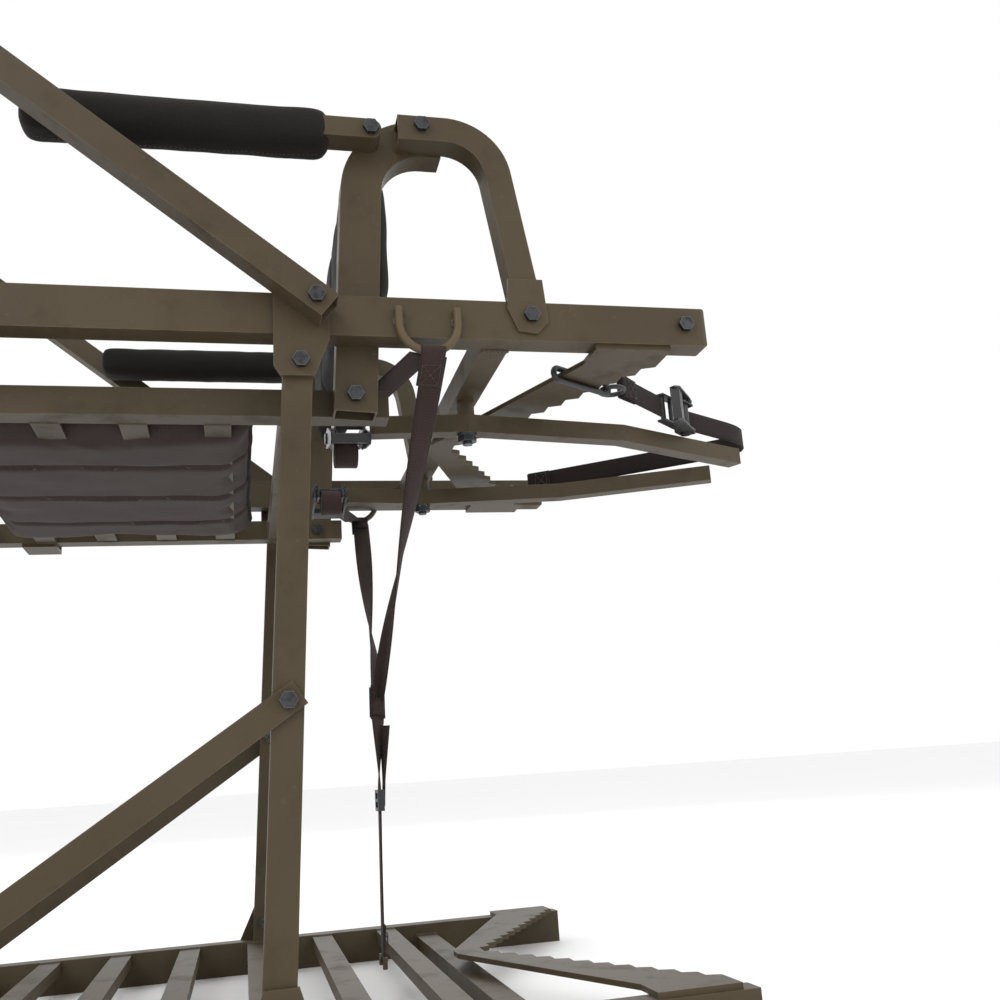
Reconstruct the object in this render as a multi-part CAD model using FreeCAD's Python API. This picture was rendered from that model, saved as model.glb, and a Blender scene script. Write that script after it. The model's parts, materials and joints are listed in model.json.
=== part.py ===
"""Climbing tree stand: seat-level frame with tree jaws, seat, arm rests, shooting rail and foot platform.

Millimetres. +X points at the tree, +Z up, left is -Y. The origin is on the ground under the platform.
"""
import FreeCAD, Part
import math
import os
from FreeCAD import Vector

# ---- driving dimensions -------------------------------------------------------------------------
rail_height = 38.1
tube = 25.4
wall = 1.8
rail_spacing = 600.0
rail_z = 620.0
rail_rear_x = 480.0
rail_length = 840.0
slip = 0.3
plate = 5.0

rear_tube_back = 200.0
jaw_tube = 19.0
jaw_drop = 16.5
jaw_pivot_y = 148.0
jaw_pin_radius = 5.0
pin_clearance = 0.1

blade_thick = 5.0
blade_apex_back = 214.0
tooth_count = 12

bolt_radius = 4.0
bolt_clearance = 0.3
bolt_head_across = 13.0
bolt_head_thick = 5.3
nut_thick = 6.5

post_back = 380.0
post_lean = 0.0459
brace_radius = 50.0
back_post_radius = 60.0
back_post_width = 38.1

seat_pivot_back = 330.0
seat_drop = 64.0
seat_length = 430.0
arm_pivot_back = 310.0
arm_pivot_rise = 190.0
arm_length = 300.0
shoot_pivot_back = 366.0
shoot_pivot_rise = 4.0
shoot_angle = 38.0
shoot_length = 560.0

platform_length = 860.0
platform_front_x = -400.0
slat_count = 8

webbing_width = 25.0
webbing_thick = 1.6
loop_rod_radius = 3.75
loop_radius = 26.5
loop_back = 266.0
junction_back = 286.0
junction_drop = 313.0

# ---- derived places -----------------------------------------------------------------------------
rail_y = rail_spacing / 2
rail_out = rail_y + tube / 2
rail_in = rail_y - tube / 2
rail_bottom = rail_z - rail_height / 2
rail_top = rail_z + rail_height / 2
blade_bottom = rail_bottom - blade_thick
jaw_top = rail_bottom - jaw_drop
jaw_z = jaw_top - jaw_tube / 2
pivot_x = rail_rear_x - rear_tube_back
inner_post_in = rail_in - tube
seat_z = rail_z - seat_drop
seat_pivot_x = rail_rear_x - seat_pivot_back
seat_tube_in = inner_post_in - slip - tube
hole_radius = bolt_radius + bolt_clearance
platform_top = rail_height
plate_out = rail_out + plate


# ---- building blocks ----------------------------------------------------------------------------
def block(x0, x1, y0, y1, z0, z1):
    """Box between two corners."""
    return Part.makeBox(x1 - x0, y1 - y0, z1 - z0, Vector(x0, y0, z0))


def rod(start, direction, length, radius):
    """Round bar from a start point."""
    return Part.makeCylinder(radius, length, start, direction)


def along_y(x, z, y0, y1, radius):
    """Round bar parallel to Y."""
    return rod(Vector(x, min(y0, y1), z), Vector(0, 1, 0), abs(y1 - y0), radius)


def side_plate(points, y0, y1):
    """Plate with an (x, z) outline, from y0 to y1."""
    wire = Part.makePolygon([Vector(x, y0, z) for x, z in points + points[:1]])
    return Part.Face(wire).extrude(Vector(0, y1 - y0, 0))


def flat_plate(points, z0, z1):
    """Plate with an (x, y) outline, from z0 to z1."""
    wire = Part.makePolygon([Vector(x, y, z0) for x, y in points + points[:1]])
    return Part.Face(wire).extrude(Vector(0, 0, z1 - z0))


def hexagon(across, thick):
    """Hexagonal prism on the XY plane, with its axis along Z."""
    reach = across / math.sqrt(3)
    corners = [(reach * math.cos(math.radians(60 * k)), reach * math.sin(math.radians(60 * k)))
               for k in range(6)]
    return flat_plate(corners, 0, thick)


def turned_to_y(shape, x, y, z):
    """Stand a Z-axis shape on the point, with its axis along +Y."""
    turned = shape.copy()
    turned.rotate(Vector(0, 0, 0), Vector(1, 0, 0), -90)
    turned.translate(Vector(x, y, z))
    return turned


def mirrored(shape):
    """The same shape on the other side of the stand."""
    return shape.mirror(Vector(0, 0, 0), Vector(0, 1, 0))


def both_sides(shapes):
    """Separate solids for the left side and the right side."""
    return Part.makeCompound(shapes + [mirrored(shape) for shape in shapes])


def offset_strip(points, half):
    """Outline of a bent flat strip with mitred corners."""
    left = []
    right = []
    last = len(points) - 1
    for index, (x, y) in enumerate(points):
        before = points[max(index - 1, 0)]
        after = points[min(index + 1, last)]
        here = (x, y)
        first = unit(before, here) if index > 0 else unit(here, after)
        second = unit(here, after) if index < last else first
        nx, ny = -(first[1] + second[1]), first[0] + second[0]
        scale = half * 2 / (nx * nx + ny * ny)
        left.append((x + nx * scale, y + ny * scale))
        right.append((x - nx * scale, y - ny * scale))
    return left + right[::-1]


def unit(a, b):
    """Unit direction between two plane points."""
    length = math.hypot(b[0] - a[0], b[1] - a[1])
    return (b[0] - a[0]) / length, (b[1] - a[1]) / length


def bent_strip(start, heading, moves, half, y0, y1):
    """Plate bent in the XZ plane: each move is (length,) or (radius, turn in degrees, left is +)."""
    sides = {1: [], -1: []}
    x, z = start
    angle = math.radians(heading)

    def edge_point(side):
        return Vector(x - side * half * math.sin(angle), y0, z + side * half * math.cos(angle))

    first = {side: edge_point(side) for side in sides}
    ends = dict(first)
    for move in moves:
        if len(move) == 1:
            x += move[0] * math.cos(angle)
            z += move[0] * math.sin(angle)
            for side in sides:
                point = edge_point(side)
                sides[side].append(Part.makeLine(ends[side], point))
                ends[side] = point
            continue
        radius, turn = move
        sign = 1 if turn > 0 else -1
        cx = x - sign * radius * math.sin(angle)
        cz = z + sign * radius * math.cos(angle)
        middles = {}
        for step in (0.5, 1.0):
            now = angle + math.radians(turn) * step
            px = cx + sign * radius * math.sin(now)
            pz = cz - sign * radius * math.cos(now)
            for side in sides:
                point = Vector(px - side * half * math.sin(now), y0, pz + side * half * math.cos(now))
                if step < 1:
                    middles[side] = point
                else:
                    sides[side].append(Part.Arc(ends[side], middles[side], point).toShape())
                    ends[side] = point
        x, z, angle = px, pz, now
    edges = sides[1] + [Part.makeLine(ends[1], ends[-1])] + sides[-1] + [Part.makeLine(first[1], first[-1])]
    wire = Part.Wire(Part.__sortEdges__(edges))
    return Part.Face(wire).extrude(Vector(0, y1 - y0, 0))


def bent_tube(start, heading, moves, half, y0, y1):
    """Hollow rectangular tube bent in the XZ plane, open at its two ends."""
    outer = bent_strip(start, heading, moves, half, y0, y1)
    inner = bent_strip(start, heading, moves, half - wall, y0 + wall, y1 - wall)
    return outer.cut(inner)


def box_tube(x0, x1, y0, y1, z0, z1, axis):
    """Straight rectangular tube, open along the given axis."""
    gap = {"x": (0, wall, wall), "y": (wall, 0, wall), "z": (wall, wall, 0)}[axis]
    outer = block(x0, x1, y0, y1, z0, z1)
    inner = block(x0 + gap[0], x1 - gap[0], y0 + gap[1], y1 - gap[1], z0 + gap[2], z1 - gap[2])
    return outer.cut(inner)


def webbing(start, end, across, width=webbing_width):
    """Straight run of flat strap between two points, its width along the given direction."""
    run = end.sub(start)
    side = Vector(across).normalize()
    face_normal = run.cross(side).normalize()
    side = face_normal.cross(run).normalize()
    half_side = side.multiply(width / 2)
    half_thick = face_normal.multiply(webbing_thick / 2)
    corners = [start + half_side + half_thick, start - half_side + half_thick,
               start - half_side - half_thick, start + half_side - half_thick]
    return Part.Face(Part.makePolygon(corners + corners[:1])).extrude(run)


def bolt_y(x, z, head_y, grip):
    """Hex bolt along +Y: its head outside head_y, its shank running through the grip and a nut."""
    head = turned_to_y(hexagon(bolt_head_across, bolt_head_thick), x, head_y - bolt_head_thick, z)
    shank = along_y(x, z, head_y, head_y + grip + nut_thick + 2, bolt_radius)
    return head.fuse(shank).removeSplitter()


def nut_y(x, z, face_y):
    """Hex nut lying against face_y, on the +Y side of it."""
    body = turned_to_y(hexagon(bolt_head_across, nut_thick), x, face_y, z)
    return body.cut(along_y(x, z, face_y, face_y + nut_thick, bolt_radius))


# ---- places of the bolts through the left side (x, z, head face y, grip) -------------------------
end_bolt = (rail_rear_x - 18, rail_z + 2, -rail_out, tube)
foot_flange = 3.0
foot_bolt = (rail_rear_x - 170, rail_z + 5, -rail_out - foot_flange, tube + foot_flange)
bracket_bolt = (rail_rear_x - 379, rail_z - 45, -plate_out, tube + plate)
shoot_bolt = (rail_rear_x - shoot_pivot_back, rail_z + shoot_pivot_rise, -plate_out - tube - slip,
              2 * tube + plate + slip)
brace_top_bolt = (rail_rear_x - 262, rail_z + 197, -rail_out, 2 * tube)
arm_bolt = (rail_rear_x - arm_pivot_back, rail_z + arm_pivot_rise, -rail_out - slip, 2 * tube + slip)
seat_bolt = (seat_pivot_x, seat_z, -rail_in, 2 * tube + slip)
post_foot_x = rail_rear_x - post_back - post_lean * (rail_bottom - platform_top)
foot_bolts = [(post_foot_x + 2, platform_top + 22, -plate_out, tube + plate),
              (post_foot_x + 16, platform_top - 25, -plate_out, tube + plate),
              (post_foot_x - 16, platform_top - 25, -plate_out, tube + plate)]
frame_bolts = [end_bolt, foot_bolt, bracket_bolt, brace_top_bolt] + foot_bolts


def drilled(shape, bolts, radius=hole_radius):
    """Cut the bolt holes that cross a left-side piece."""
    for x, z, head_y, grip in bolts:
        shape = shape.cut(along_y(x, z, head_y - 20, head_y + grip + 20, radius))
    return shape


# ---- seat-level frame ---------------------------------------------------------------------------
def side_rail():
    """Left rail: rectangular tube past the tree."""
    front = rail_rear_x - rail_length
    body = box_tube(front, rail_rear_x, -rail_out, -rail_in, rail_bottom, rail_top, "x")
    return drilled(body, [end_bolt, foot_bolt, shoot_bolt])


def rail_plug():
    """Rounded plug in the rear end of the left rail."""
    nose = 4.0
    core = block(rail_rear_x - 30, rail_rear_x, -rail_out + wall + slip / 2, -rail_in - wall - slip / 2,
                 rail_bottom + wall + slip / 2, rail_top - wall - slip / 2)
    cap = block(rail_rear_x, rail_rear_x + nose, -rail_out, -rail_in, rail_bottom, rail_top)
    cap = cap.makeFillet(nose * 0.9, [edge for edge in cap.Edges
                                      if edge.BoundBox.XMin > rail_rear_x + nose - 0.1])
    return drilled(core.fuse(cap), [end_bolt])


def cross_tube(centre_x, centre_z, half_length):
    """Square tube across the stand."""
    half = tube / 2
    return box_tube(centre_x - half, centre_x + half, -half_length, half_length,
                    centre_z - half, centre_z + half, "y")


def rear_cross_tube():
    """Tube that carries the jaw pivots, flush with the underside of the rails."""
    body = cross_tube(pivot_x, rail_bottom + tube / 2, rail_in)
    for side in (-1, 1):
        body = body.cut(rod(Vector(pivot_x, side * jaw_pivot_y, rail_bottom - 1), Vector(0, 0, 1),
                            tube + 2, jaw_pin_radius + bolt_clearance))
    return body


tooth_start = Vector(rail_rear_x - 186, 14, 0)
tooth_end = Vector(rail_rear_x - 34, rail_y - 14, 0)
shoulder = Vector(rail_rear_x - 108, rail_y - 30, 0)
apex = Vector(rail_rear_x - blade_apex_back, 12, 0)


def gripper_blade(z_bottom):
    """V-shaped plate whose stepped inner edges bite into the trunk."""
    step = (tooth_end - tooth_start) / tooth_count
    teeth = []
    for k in range(tooth_count):
        foot = tooth_start + step * k
        teeth += [(foot.x, foot.y), (foot.x + step.x, foot.y + step.y * 0.25)]
    half = teeth + [(tooth_end.x, tooth_end.y), (tooth_end.x, rail_out - 3),
                    (shoulder.x, rail_out - 3), (shoulder.x, shoulder.y)]
    outline = half + [(apex.x, apex.y), (apex.x, -apex.y)]
    outline += [(x, -y) for x, y in half[::-1]]
    return flat_plate(outline, z_bottom, z_bottom + blade_thick)


def eye_loops():
    """U-shaped rods welded on the outer faces of the rails."""
    x = rail_rear_x - loop_back
    y = -rail_out - loop_rod_radius
    top = rail_z + 8
    centre = rail_z - 7
    path = Part.Wire([
        Part.makeLine(Vector(x - loop_radius, y, top), Vector(x - loop_radius, y, centre)),
        Part.Arc(Vector(x - loop_radius, y, centre), Vector(x, y, centre - loop_radius),
                 Vector(x + loop_radius, y, centre)).toShape(),
        Part.makeLine(Vector(x + loop_radius, y, centre), Vector(x + loop_radius, y, top))])
    ring = Part.Wire(Part.makeCircle(loop_rod_radius, Vector(x - loop_radius, y, top), Vector(0, 0, 1)))
    return both_sides([path.makePipeShell([ring], True, False)])


def back_post():
    """Left back post: rectangular tube on the inner face of the rail, bent back at its top."""
    lean = 93.1 - 6.2
    body = bent_tube((seat_pivot_x, seat_z - 16), lean, [(222,), (back_post_radius, -lean), (18,)],
                     back_post_width / 2, -rail_in, -inner_post_in)
    return drilled(body, [seat_bolt, arm_bolt, brace_top_bolt])


def brace():
    """Left brace: square tube standing on the rail and curving forward to the back post."""
    foot_x = rail_rear_x - 171
    body = bent_tube((foot_x, rail_top), 98.6, [(134,), (brace_radius, 81.4), (44,)], tube / 2,
                     -rail_out, -rail_in)
    body = body.cut(block(foot_x - tube, foot_x + tube, -rail_out, -rail_in, rail_bottom, rail_top))
    outline = [(foot_x - 19, rail_top + 22), (foot_x - 21, rail_top - 8), (foot_x - 12, rail_top - 30),
               (foot_x + 6, rail_top - 32), (foot_x + 17, rail_top - 20), (foot_x + 14, rail_top + 22)]
    flange = side_plate(outline, -rail_out - foot_flange, -rail_out)
    return drilled(body.fuse(flange), [foot_bolt, brace_top_bolt])


def bracket():
    """Left bracket plate that joins the rail, the upright and the shooting rail arm."""
    x = rail_rear_x - post_back
    outline = [(x - 22, rail_top + 3), (x + 20, rail_top + 3), (x + 26, rail_top - 6),
               (x + 26, rail_bottom - 6), (x + 12, rail_bottom - 40), (x - 16, rail_bottom - 40),
               (x - 22, rail_bottom - 30)]
    return drilled(side_plate(outline, -plate_out, -rail_out), [bracket_bolt, shoot_bolt])


def upright():
    """Left upright: square tube from the rail down to the platform, leaning slightly forward."""
    top_x = rail_rear_x - post_back
    half = tube / 2
    outer = [(top_x - half, rail_bottom), (top_x + half, rail_bottom),
             (post_foot_x + half, platform_top), (post_foot_x - half, platform_top)]
    inner = [(top_x - half + wall, rail_bottom), (top_x + half - wall, rail_bottom),
             (post_foot_x + half - wall, platform_top), (post_foot_x - half + wall, platform_top)]
    body = side_plate(outer, -rail_out, -rail_in)
    body = body.cut(side_plate(inner, -rail_out + wall, -rail_in - wall))
    strut_hole = strut_bolts()[0]
    return drilled(body, [bracket_bolt, foot_bolts[0], strut_hole])


# ---- tree jaws ----------------------------------------------------------------------------------
jaw_points = [(rail_rear_x - 300, -137.0), (pivot_x, -jaw_pivot_y), (rail_rear_x - 21, -120.0),
              (rail_rear_x + 157, -35.0)]


def jaw_arm():
    """Left jaw arm: bent square tube that swings on a vertical pivot."""
    outer = flat_plate(offset_strip(jaw_points, jaw_tube / 2), jaw_top - jaw_tube, jaw_top)
    inner = flat_plate(offset_strip(jaw_points, jaw_tube / 2 - wall), jaw_top - jaw_tube + wall,
                       jaw_top - wall)
    bush_hole = rod(Vector(pivot_x, -jaw_pivot_y, jaw_top - jaw_tube - 1), Vector(0, 0, 1),
                    jaw_tube + 2, jaw_pin_radius + 2)
    return outer.cut(inner).cut(bush_hole)


def jaw_bush():
    """Bush pressed through the left jaw arm."""
    start = Vector(pivot_x, -jaw_pivot_y, jaw_top - jaw_tube)
    body = rod(start, Vector(0, 0, 1), jaw_tube, jaw_pin_radius + 2)
    return body.cut(rod(start, Vector(0, 0, 1), jaw_tube, jaw_pin_radius + pin_clearance))


def jaw_spacers():
    """Collars between the rear cross tube and the jaw arms."""
    start = Vector(pivot_x, -jaw_pivot_y, jaw_top + slip)
    length = jaw_drop - slip
    body = rod(start, Vector(0, 0, 1), length, 9.0)
    return both_sides([body.cut(rod(start, Vector(0, 0, 1), length, jaw_pin_radius + pin_clearance))])


def jaw_pivot_bolts():
    """Long vertical bolts, head on top of the rear cross tube."""
    head_z = rail_bottom + tube
    low = jaw_top - jaw_tube - slip - 2 - nut_thick - 3
    shank = rod(Vector(pivot_x, -jaw_pivot_y, low), Vector(0, 0, 1), head_z - low, jaw_pin_radius)
    head = hexagon(17.0, 6.4)
    head.translate(Vector(pivot_x, -jaw_pivot_y, head_z))
    return both_sides([shank.fuse(head).removeSplitter()])


def jaw_pivot_washers():
    """Washers under the jaw arms."""
    start = Vector(pivot_x, -jaw_pivot_y, jaw_top - jaw_tube - slip - 2)
    body = rod(start, Vector(0, 0, 1), 2, 10.5)
    return both_sides([body.cut(rod(start, Vector(0, 0, 1), 2, jaw_pin_radius))])


def jaw_pivot_nuts():
    """Lock nuts on the jaw pivots."""
    z = jaw_top - jaw_tube - slip - 2 - nut_thick
    body = hexagon(17.0, nut_thick)
    body.translate(Vector(pivot_x, -jaw_pivot_y, z))
    return both_sides([body.cut(rod(Vector(pivot_x, -jaw_pivot_y, z), Vector(0, 0, 1), nut_thick,
                                    jaw_pin_radius))])


# ---- ratchets: u along the strap, v across it, w away from it ------------------------------------
ratchet_half_width = 14.0
ratchet_plate = 2.0
spool_u = 18.0
spool_w = 3.0


def uw_plate(points, v0, v1):
    """Plate with a (u, w) outline between two v planes."""
    wire = Part.makePolygon([Vector(u, v0, w) for u, w in points + points[:1]])
    return Part.Face(wire).extrude(Vector(0, v1 - v0, 0))


def uw_bar(u, w, half_length, radius):
    """Round bar along v."""
    return rod(Vector(u, -half_length, w), Vector(0, 1, 0), 2 * half_length, radius)


def ratchet_frame():
    """Two cheeks, the strap pin and the lock pin that joins them."""
    outer = ratchet_half_width + ratchet_plate
    outline = [(-34, -6), (30, -6), (34, 0), (30, 11), (8, 12), (-10, 5), (-34, 4)]
    cheeks = [uw_plate(outline, -outer, -ratchet_half_width), uw_plate(outline, ratchet_half_width, outer)]
    body = cheeks[0].fuse(cheeks[1]).fuse(uw_bar(-28, -1, outer, 3)).fuse(uw_bar(-8, -1, outer, 2.5))
    return body.cut(uw_bar(spool_u, spool_w, outer + 1, 6 + pin_clearance))


def ratchet_spool():
    """Slotted spool with the two toothed wheels outside the cheeks."""
    outer = ratchet_half_width + ratchet_plate
    core = uw_bar(spool_u, spool_w, outer + 6, 6)
    slot = block(spool_u - 7, spool_u + 7, -ratchet_half_width + 1, ratchet_half_width - 1,
                 spool_w - 1.2, spool_w + 1.2)
    body = core.cut(slot)
    for side in (-1, 1):
        teeth = []
        for k in range(12):
            for reach, turn in ((9.0, 0), (11.5, 18)):
                angle = math.radians(30 * k + turn)
                teeth.append((spool_u + reach * math.cos(angle), spool_w + reach * math.sin(angle)))
        wheel = uw_plate(teeth, outer + slip, outer + slip + 1.6)
        if side < 0:
            wheel = mirrored(wheel)
        body = body.fuse(wheel)
    return body


def ratchet_handle():
    """Folding handle: two arms outside the wheels and a grip bar."""
    start = ratchet_half_width + ratchet_plate + slip + 1.6 + slip
    outline = [(spool_u + 9, spool_w - 8), (spool_u + 10, spool_w + 8), (spool_u - 4, 15), (-30, 24),
               (-36, 20), (-34, 13), (spool_u - 12, -5)]
    arms = [uw_plate(outline, start, start + ratchet_plate),
            uw_plate(outline, -start - ratchet_plate, -start)]
    grip = uw_plate([(-35, 14), (-31, 23), (-16, 19), (-18, 13)], -start, start)
    body = arms[0].fuse(arms[1]).fuse(grip)
    return body.cut(uw_bar(spool_u, spool_w, start + 5, 6 + pin_clearance))


def placed(shape, place):
    """Move a ratchet piece to its (origin, u axis, w axis) place."""
    origin, u_axis, w_axis = place
    v_axis = w_axis.cross(u_axis)
    matrix = FreeCAD.Matrix(u_axis.x, v_axis.x, w_axis.x, origin.x,
                            u_axis.y, v_axis.y, w_axis.y, origin.y,
                            u_axis.z, v_axis.z, w_axis.z, origin.z, 0, 0, 0, 1)
    return shape.transformed(matrix)


rear_angle = math.radians(41.6)
strap_z = jaw_top + 22.5
rear_place = (Vector(rail_rear_x + 55, -103, strap_z),
              Vector(math.cos(rear_angle), math.sin(rear_angle), 0),
              Vector(math.sin(rear_angle), -math.cos(rear_angle), 0))
front_place = (Vector(rail_rear_x - 322, -128, jaw_z), Vector(0, 1, 0), Vector(0, 0, -1))


# ---- straps -------------------------------------------------------------------------------------
loop_low = Vector(rail_rear_x - loop_back, -rail_out - loop_rod_radius, rail_z - 7 - loop_radius)
junction = Vector(rail_rear_x - junction_back, 0, rail_z - junction_drop)
tail_end = Vector(junction.x - 4, 0, platform_top + 8.3)
along_x = Vector(1, 0, 0)


def jaw_strap():
    """Strap from the left jaw ratchet to the eye loop."""
    start = front_place[0] - front_place[1] * frame_end_u
    end = loop_low + Vector(-7, loop_rod_radius + 1, -1)
    return webbing(start, end, along_x)


def pull_strap():
    """Left leg of the Y-shaped pull strap, from the eye loop to the junction."""
    start = loop_low + Vector(4, 0, -loop_rod_radius - 1)
    end = junction + Vector(0, -2, 2)
    return webbing(start, end, along_x, 18.0)


def pull_strap_tail():
    """Single strap from the junction down to the platform."""
    return webbing(junction, tail_end, Vector(0, 1, 0), 18.0)


def tail_buckle():
    """Small ladder buckle on the tail."""
    centre = Vector(junction.x - 1.5, 0, junction.z - 105)
    body = block(centre.x - 3.5, centre.x + 3.5, -13, 13, centre.z - 11, centre.z + 11)
    body = body.cut(block(centre.x - 1.6, centre.x + 1.6, -9.5, 9.5, centre.z - 12, centre.z + 12))
    for low in (-7.5, 1.5):
        body = body.cut(block(centre.x - 4, centre.x + 4, -10, 10, centre.z + low, centre.z + low + 6))
    return body


def tail_anchor():
    """Staple on the platform that the tail is tied to."""
    half, leg_radius, bar_radius = 15.0, 2.5, 2.0
    x, z = tail_end.x, platform_top + 6
    rise = z + bar_radius + 1 - slat_top
    legs = [rod(Vector(x, side * half, slat_top), Vector(0, 0, 1), rise, leg_radius) for side in (-1, 1)]
    bar = rod(Vector(x, -half, z), Vector(0, 1, 0), 2 * half, bar_radius)
    return legs[0].fuse(legs[1]).fuse(bar)


hook_share = 0.7206
hook_turn = 2.39
hook_gap_front = 4.5
hook_gap_teeth = 14.8


def blade_width_at(place, across):
    """Distance from a place on the teeth of the left arm to the arm's front edge, along a direction."""
    edge_x, edge_y = shoulder.x - apex.x, apex.y - shoulder.y
    gap_x, gap_y = apex.x - place.x, -apex.y - place.y
    return (gap_x * edge_y - gap_y * edge_x) / (across.y * edge_x - across.x * edge_y)


tooth_place = tooth_start + (tooth_end - tooth_start) * hook_share
tooth_place = Vector(tooth_place.x, -tooth_place.y, rail_bottom - blade_thick / 2)
tooth_run = Vector(tooth_end.x - tooth_start.x, tooth_start.y - tooth_end.y, 0).normalize()
hook_along = FreeCAD.Rotation(Vector(0, 0, 1), hook_turn).multVec(tooth_run)
hook_across = Vector(-hook_along.y, hook_along.x, 0)
hook_reach = (blade_width_at(tooth_place, hook_across) + hook_gap_front + hook_gap_teeth) / 2
hook_middle = tooth_place - hook_across * (hook_reach - hook_gap_teeth)
ring_reach = 12.0
ring_radius = 12.5
ring_rod = 2.5


def strap_hooks():
    """Hooks round the blade: a long link over it and a small link that holds the strap."""
    radius = 3.0
    reach, rise = hook_reach, blade_thick / 2 + radius + slip
    centre = hook_middle
    ends = [centre + hook_across * (side * reach) for side in (-1, 1)]
    up = Vector(0, 0, rise)
    start_ring = Part.Face(Part.Wire(Part.makeCircle(radius, ends[0] + up, hook_across)))
    end_ring = Part.Face(Part.Wire(Part.makeCircle(radius, ends[1] - up, hook_across)))
    link = start_ring.extrude(hook_across * (2 * reach))
    link = link.fuse(end_ring.extrude(hook_across * (-2 * reach)))
    link = link.fuse(start_ring.revolve(ends[0], hook_along, 180))
    link = link.fuse(end_ring.revolve(ends[1], hook_along, 180)).removeSplitter()
    hoop = Part.makeTorus(ring_radius, ring_rod, ends[1] + hook_across * ring_reach, Vector(0, 0, 1))
    return both_sides([link, hoop])


strap_reach = hook_reach + ring_reach + ring_radius + ring_rod + slip
frame_end_u = 36.0


def rear_strap():
    """Strap from the left hook to the ratchet."""
    start = hook_middle + hook_across * strap_reach
    start.z = strap_z
    end = rear_place[0] - rear_place[1] * frame_end_u
    return webbing(start, end, Vector(0, 0, 1))


def rear_strap_loop():
    """Strap from the ratchet round behind the jaw tips to the right hook."""
    far_hook = hook_middle + hook_across * strap_reach
    ratchet_end = rear_place[0] + rear_place[1] * frame_end_u
    points = [(ratchet_end.x, ratchet_end.y), (rail_rear_x + 165, -32.0),
              (rail_rear_x + 186, -10.0), (rail_rear_x + 186, 10.0), (rail_rear_x + 165, 32.0),
              (far_hook.x, -far_hook.y)]
    outline = offset_strip(points, webbing_thick / 2)
    return flat_plate(outline, strap_z - webbing_width / 2, strap_z + webbing_width / 2)


# ---- seat and back ------------------------------------------------------------------------------
seat_rear_x = rail_rear_x - 297
seat_front_x = seat_pivot_x - seat_length


def seat_side_tube():
    """Left side tube of the seat."""
    body = box_tube(seat_front_x, seat_rear_x, -seat_tube_in - tube, -seat_tube_in,
                    seat_z - tube / 2, seat_z + tube / 2, "x")
    return drilled(body, [seat_bolt])


def seat_cross_tubes():
    """Front and rear cross tubes of the seat."""
    front = cross_tube(seat_front_x + tube / 2, seat_z, seat_tube_in)
    rear = cross_tube(seat_pivot_x - 52, seat_z, seat_tube_in)
    return Part.makeCompound([front, rear])


def seat_bars():
    """Flat bars that carry the cushion."""
    first, last = seat_front_x + 90, seat_pivot_x - 120
    bars = []
    for k in range(4):
        x = first + (last - first) * k / 3
        bars.append(block(x - 12, x + 12, -seat_tube_in, seat_tube_in, seat_z - 12, seat_z - 9))
    return Part.makeCompound(bars)


def rounded_pad(x0, x1, y0, y1, z0, z1, radius):
    """Cushion: a box with all its edges rounded."""
    pad = block(x0, x1, y0, y1, z0, z1)
    return pad.makeFillet(radius, pad.Edges)


def seat_stops():
    """Angled plates on the rails that the seat side tubes rest on."""
    x = seat_front_x + 60
    width, thick = 40.0, 4.0
    low = seat_z - tube / 2 - slip
    hanger = block(x, x + width, -rail_in, -rail_in + thick, low - thick, rail_z + 8)
    lip = block(x, x + width, -rail_in, -seat_tube_in - 4, low - thick, low)
    return both_sides([hanger.fuse(lip).removeSplitter()])


def seat_cushion():
    """Padded seat between the side tubes."""
    return rounded_pad(seat_front_x + tube + 4, seat_pivot_x - 70, -seat_tube_in + 6, seat_tube_in - 6,
                       seat_z - 9, seat_z + 22, 10.0)


back_bar_rises = (85.0, 165.0)


def back_bars():
    """Flat bars between the back posts, inside the back pad."""
    x = rail_rear_x - 306
    return Part.makeCompound([block(x - 2, x + 2, -inner_post_in, inner_post_in, rail_z + rise - 12,
                                    rail_z + rise + 12) for rise in back_bar_rises])


def back_pad():
    """Padded back panel."""
    x = rail_rear_x - 306
    half_width = inner_post_in - 12
    pad = rounded_pad(x - 19, x + 17, -half_width, half_width, rail_z + 42, rail_z + 222, 12.0)
    return pad.cut(back_bars())


# ---- arm rests ----------------------------------------------------------------------------------
arm_z = rail_z + arm_pivot_rise
arm_rear_x = rail_rear_x - arm_pivot_back
arm_half = 10.0
arm_pad_width = 46.0


def arm_rest():
    """Left arm rest tube, rounded at its pivot."""
    low_y, high_y = -rail_out, -rail_in - slip
    body = block(arm_rear_x - arm_length, arm_rear_x, low_y, high_y, arm_z - arm_half, arm_z + arm_half)
    body = body.cut(block(arm_rear_x - arm_length + wall, arm_rear_x - 20, low_y + wall, high_y - wall,
                          arm_z - arm_half + wall, arm_z + arm_half - wall))
    body = body.fuse(along_y(arm_rear_x, arm_z, low_y, high_y, arm_half))
    return drilled(body, [arm_bolt], bolt_radius + pin_clearance)


def arm_pad():
    """Foam pad over the left arm rest tube."""
    outer_y = -rail_out - 1
    pad = rounded_pad(arm_rear_x - arm_length - 12, arm_rear_x - 32, outer_y, outer_y + arm_pad_width,
                      arm_z - 22, arm_z + 24, 10.0)
    return pad.cut(block(arm_rear_x - arm_length, arm_rear_x, -rail_out, -rail_in - slip,
                         arm_z - arm_half, arm_z + arm_half))


# ---- shooting rail ------------------------------------------------------------------------------
shoot_x = rail_rear_x - shoot_pivot_back
shoot_z = rail_z + shoot_pivot_rise
shoot_in = plate_out + slip
shoot_out = shoot_in + tube
shoot_turn = 180 - shoot_angle


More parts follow.
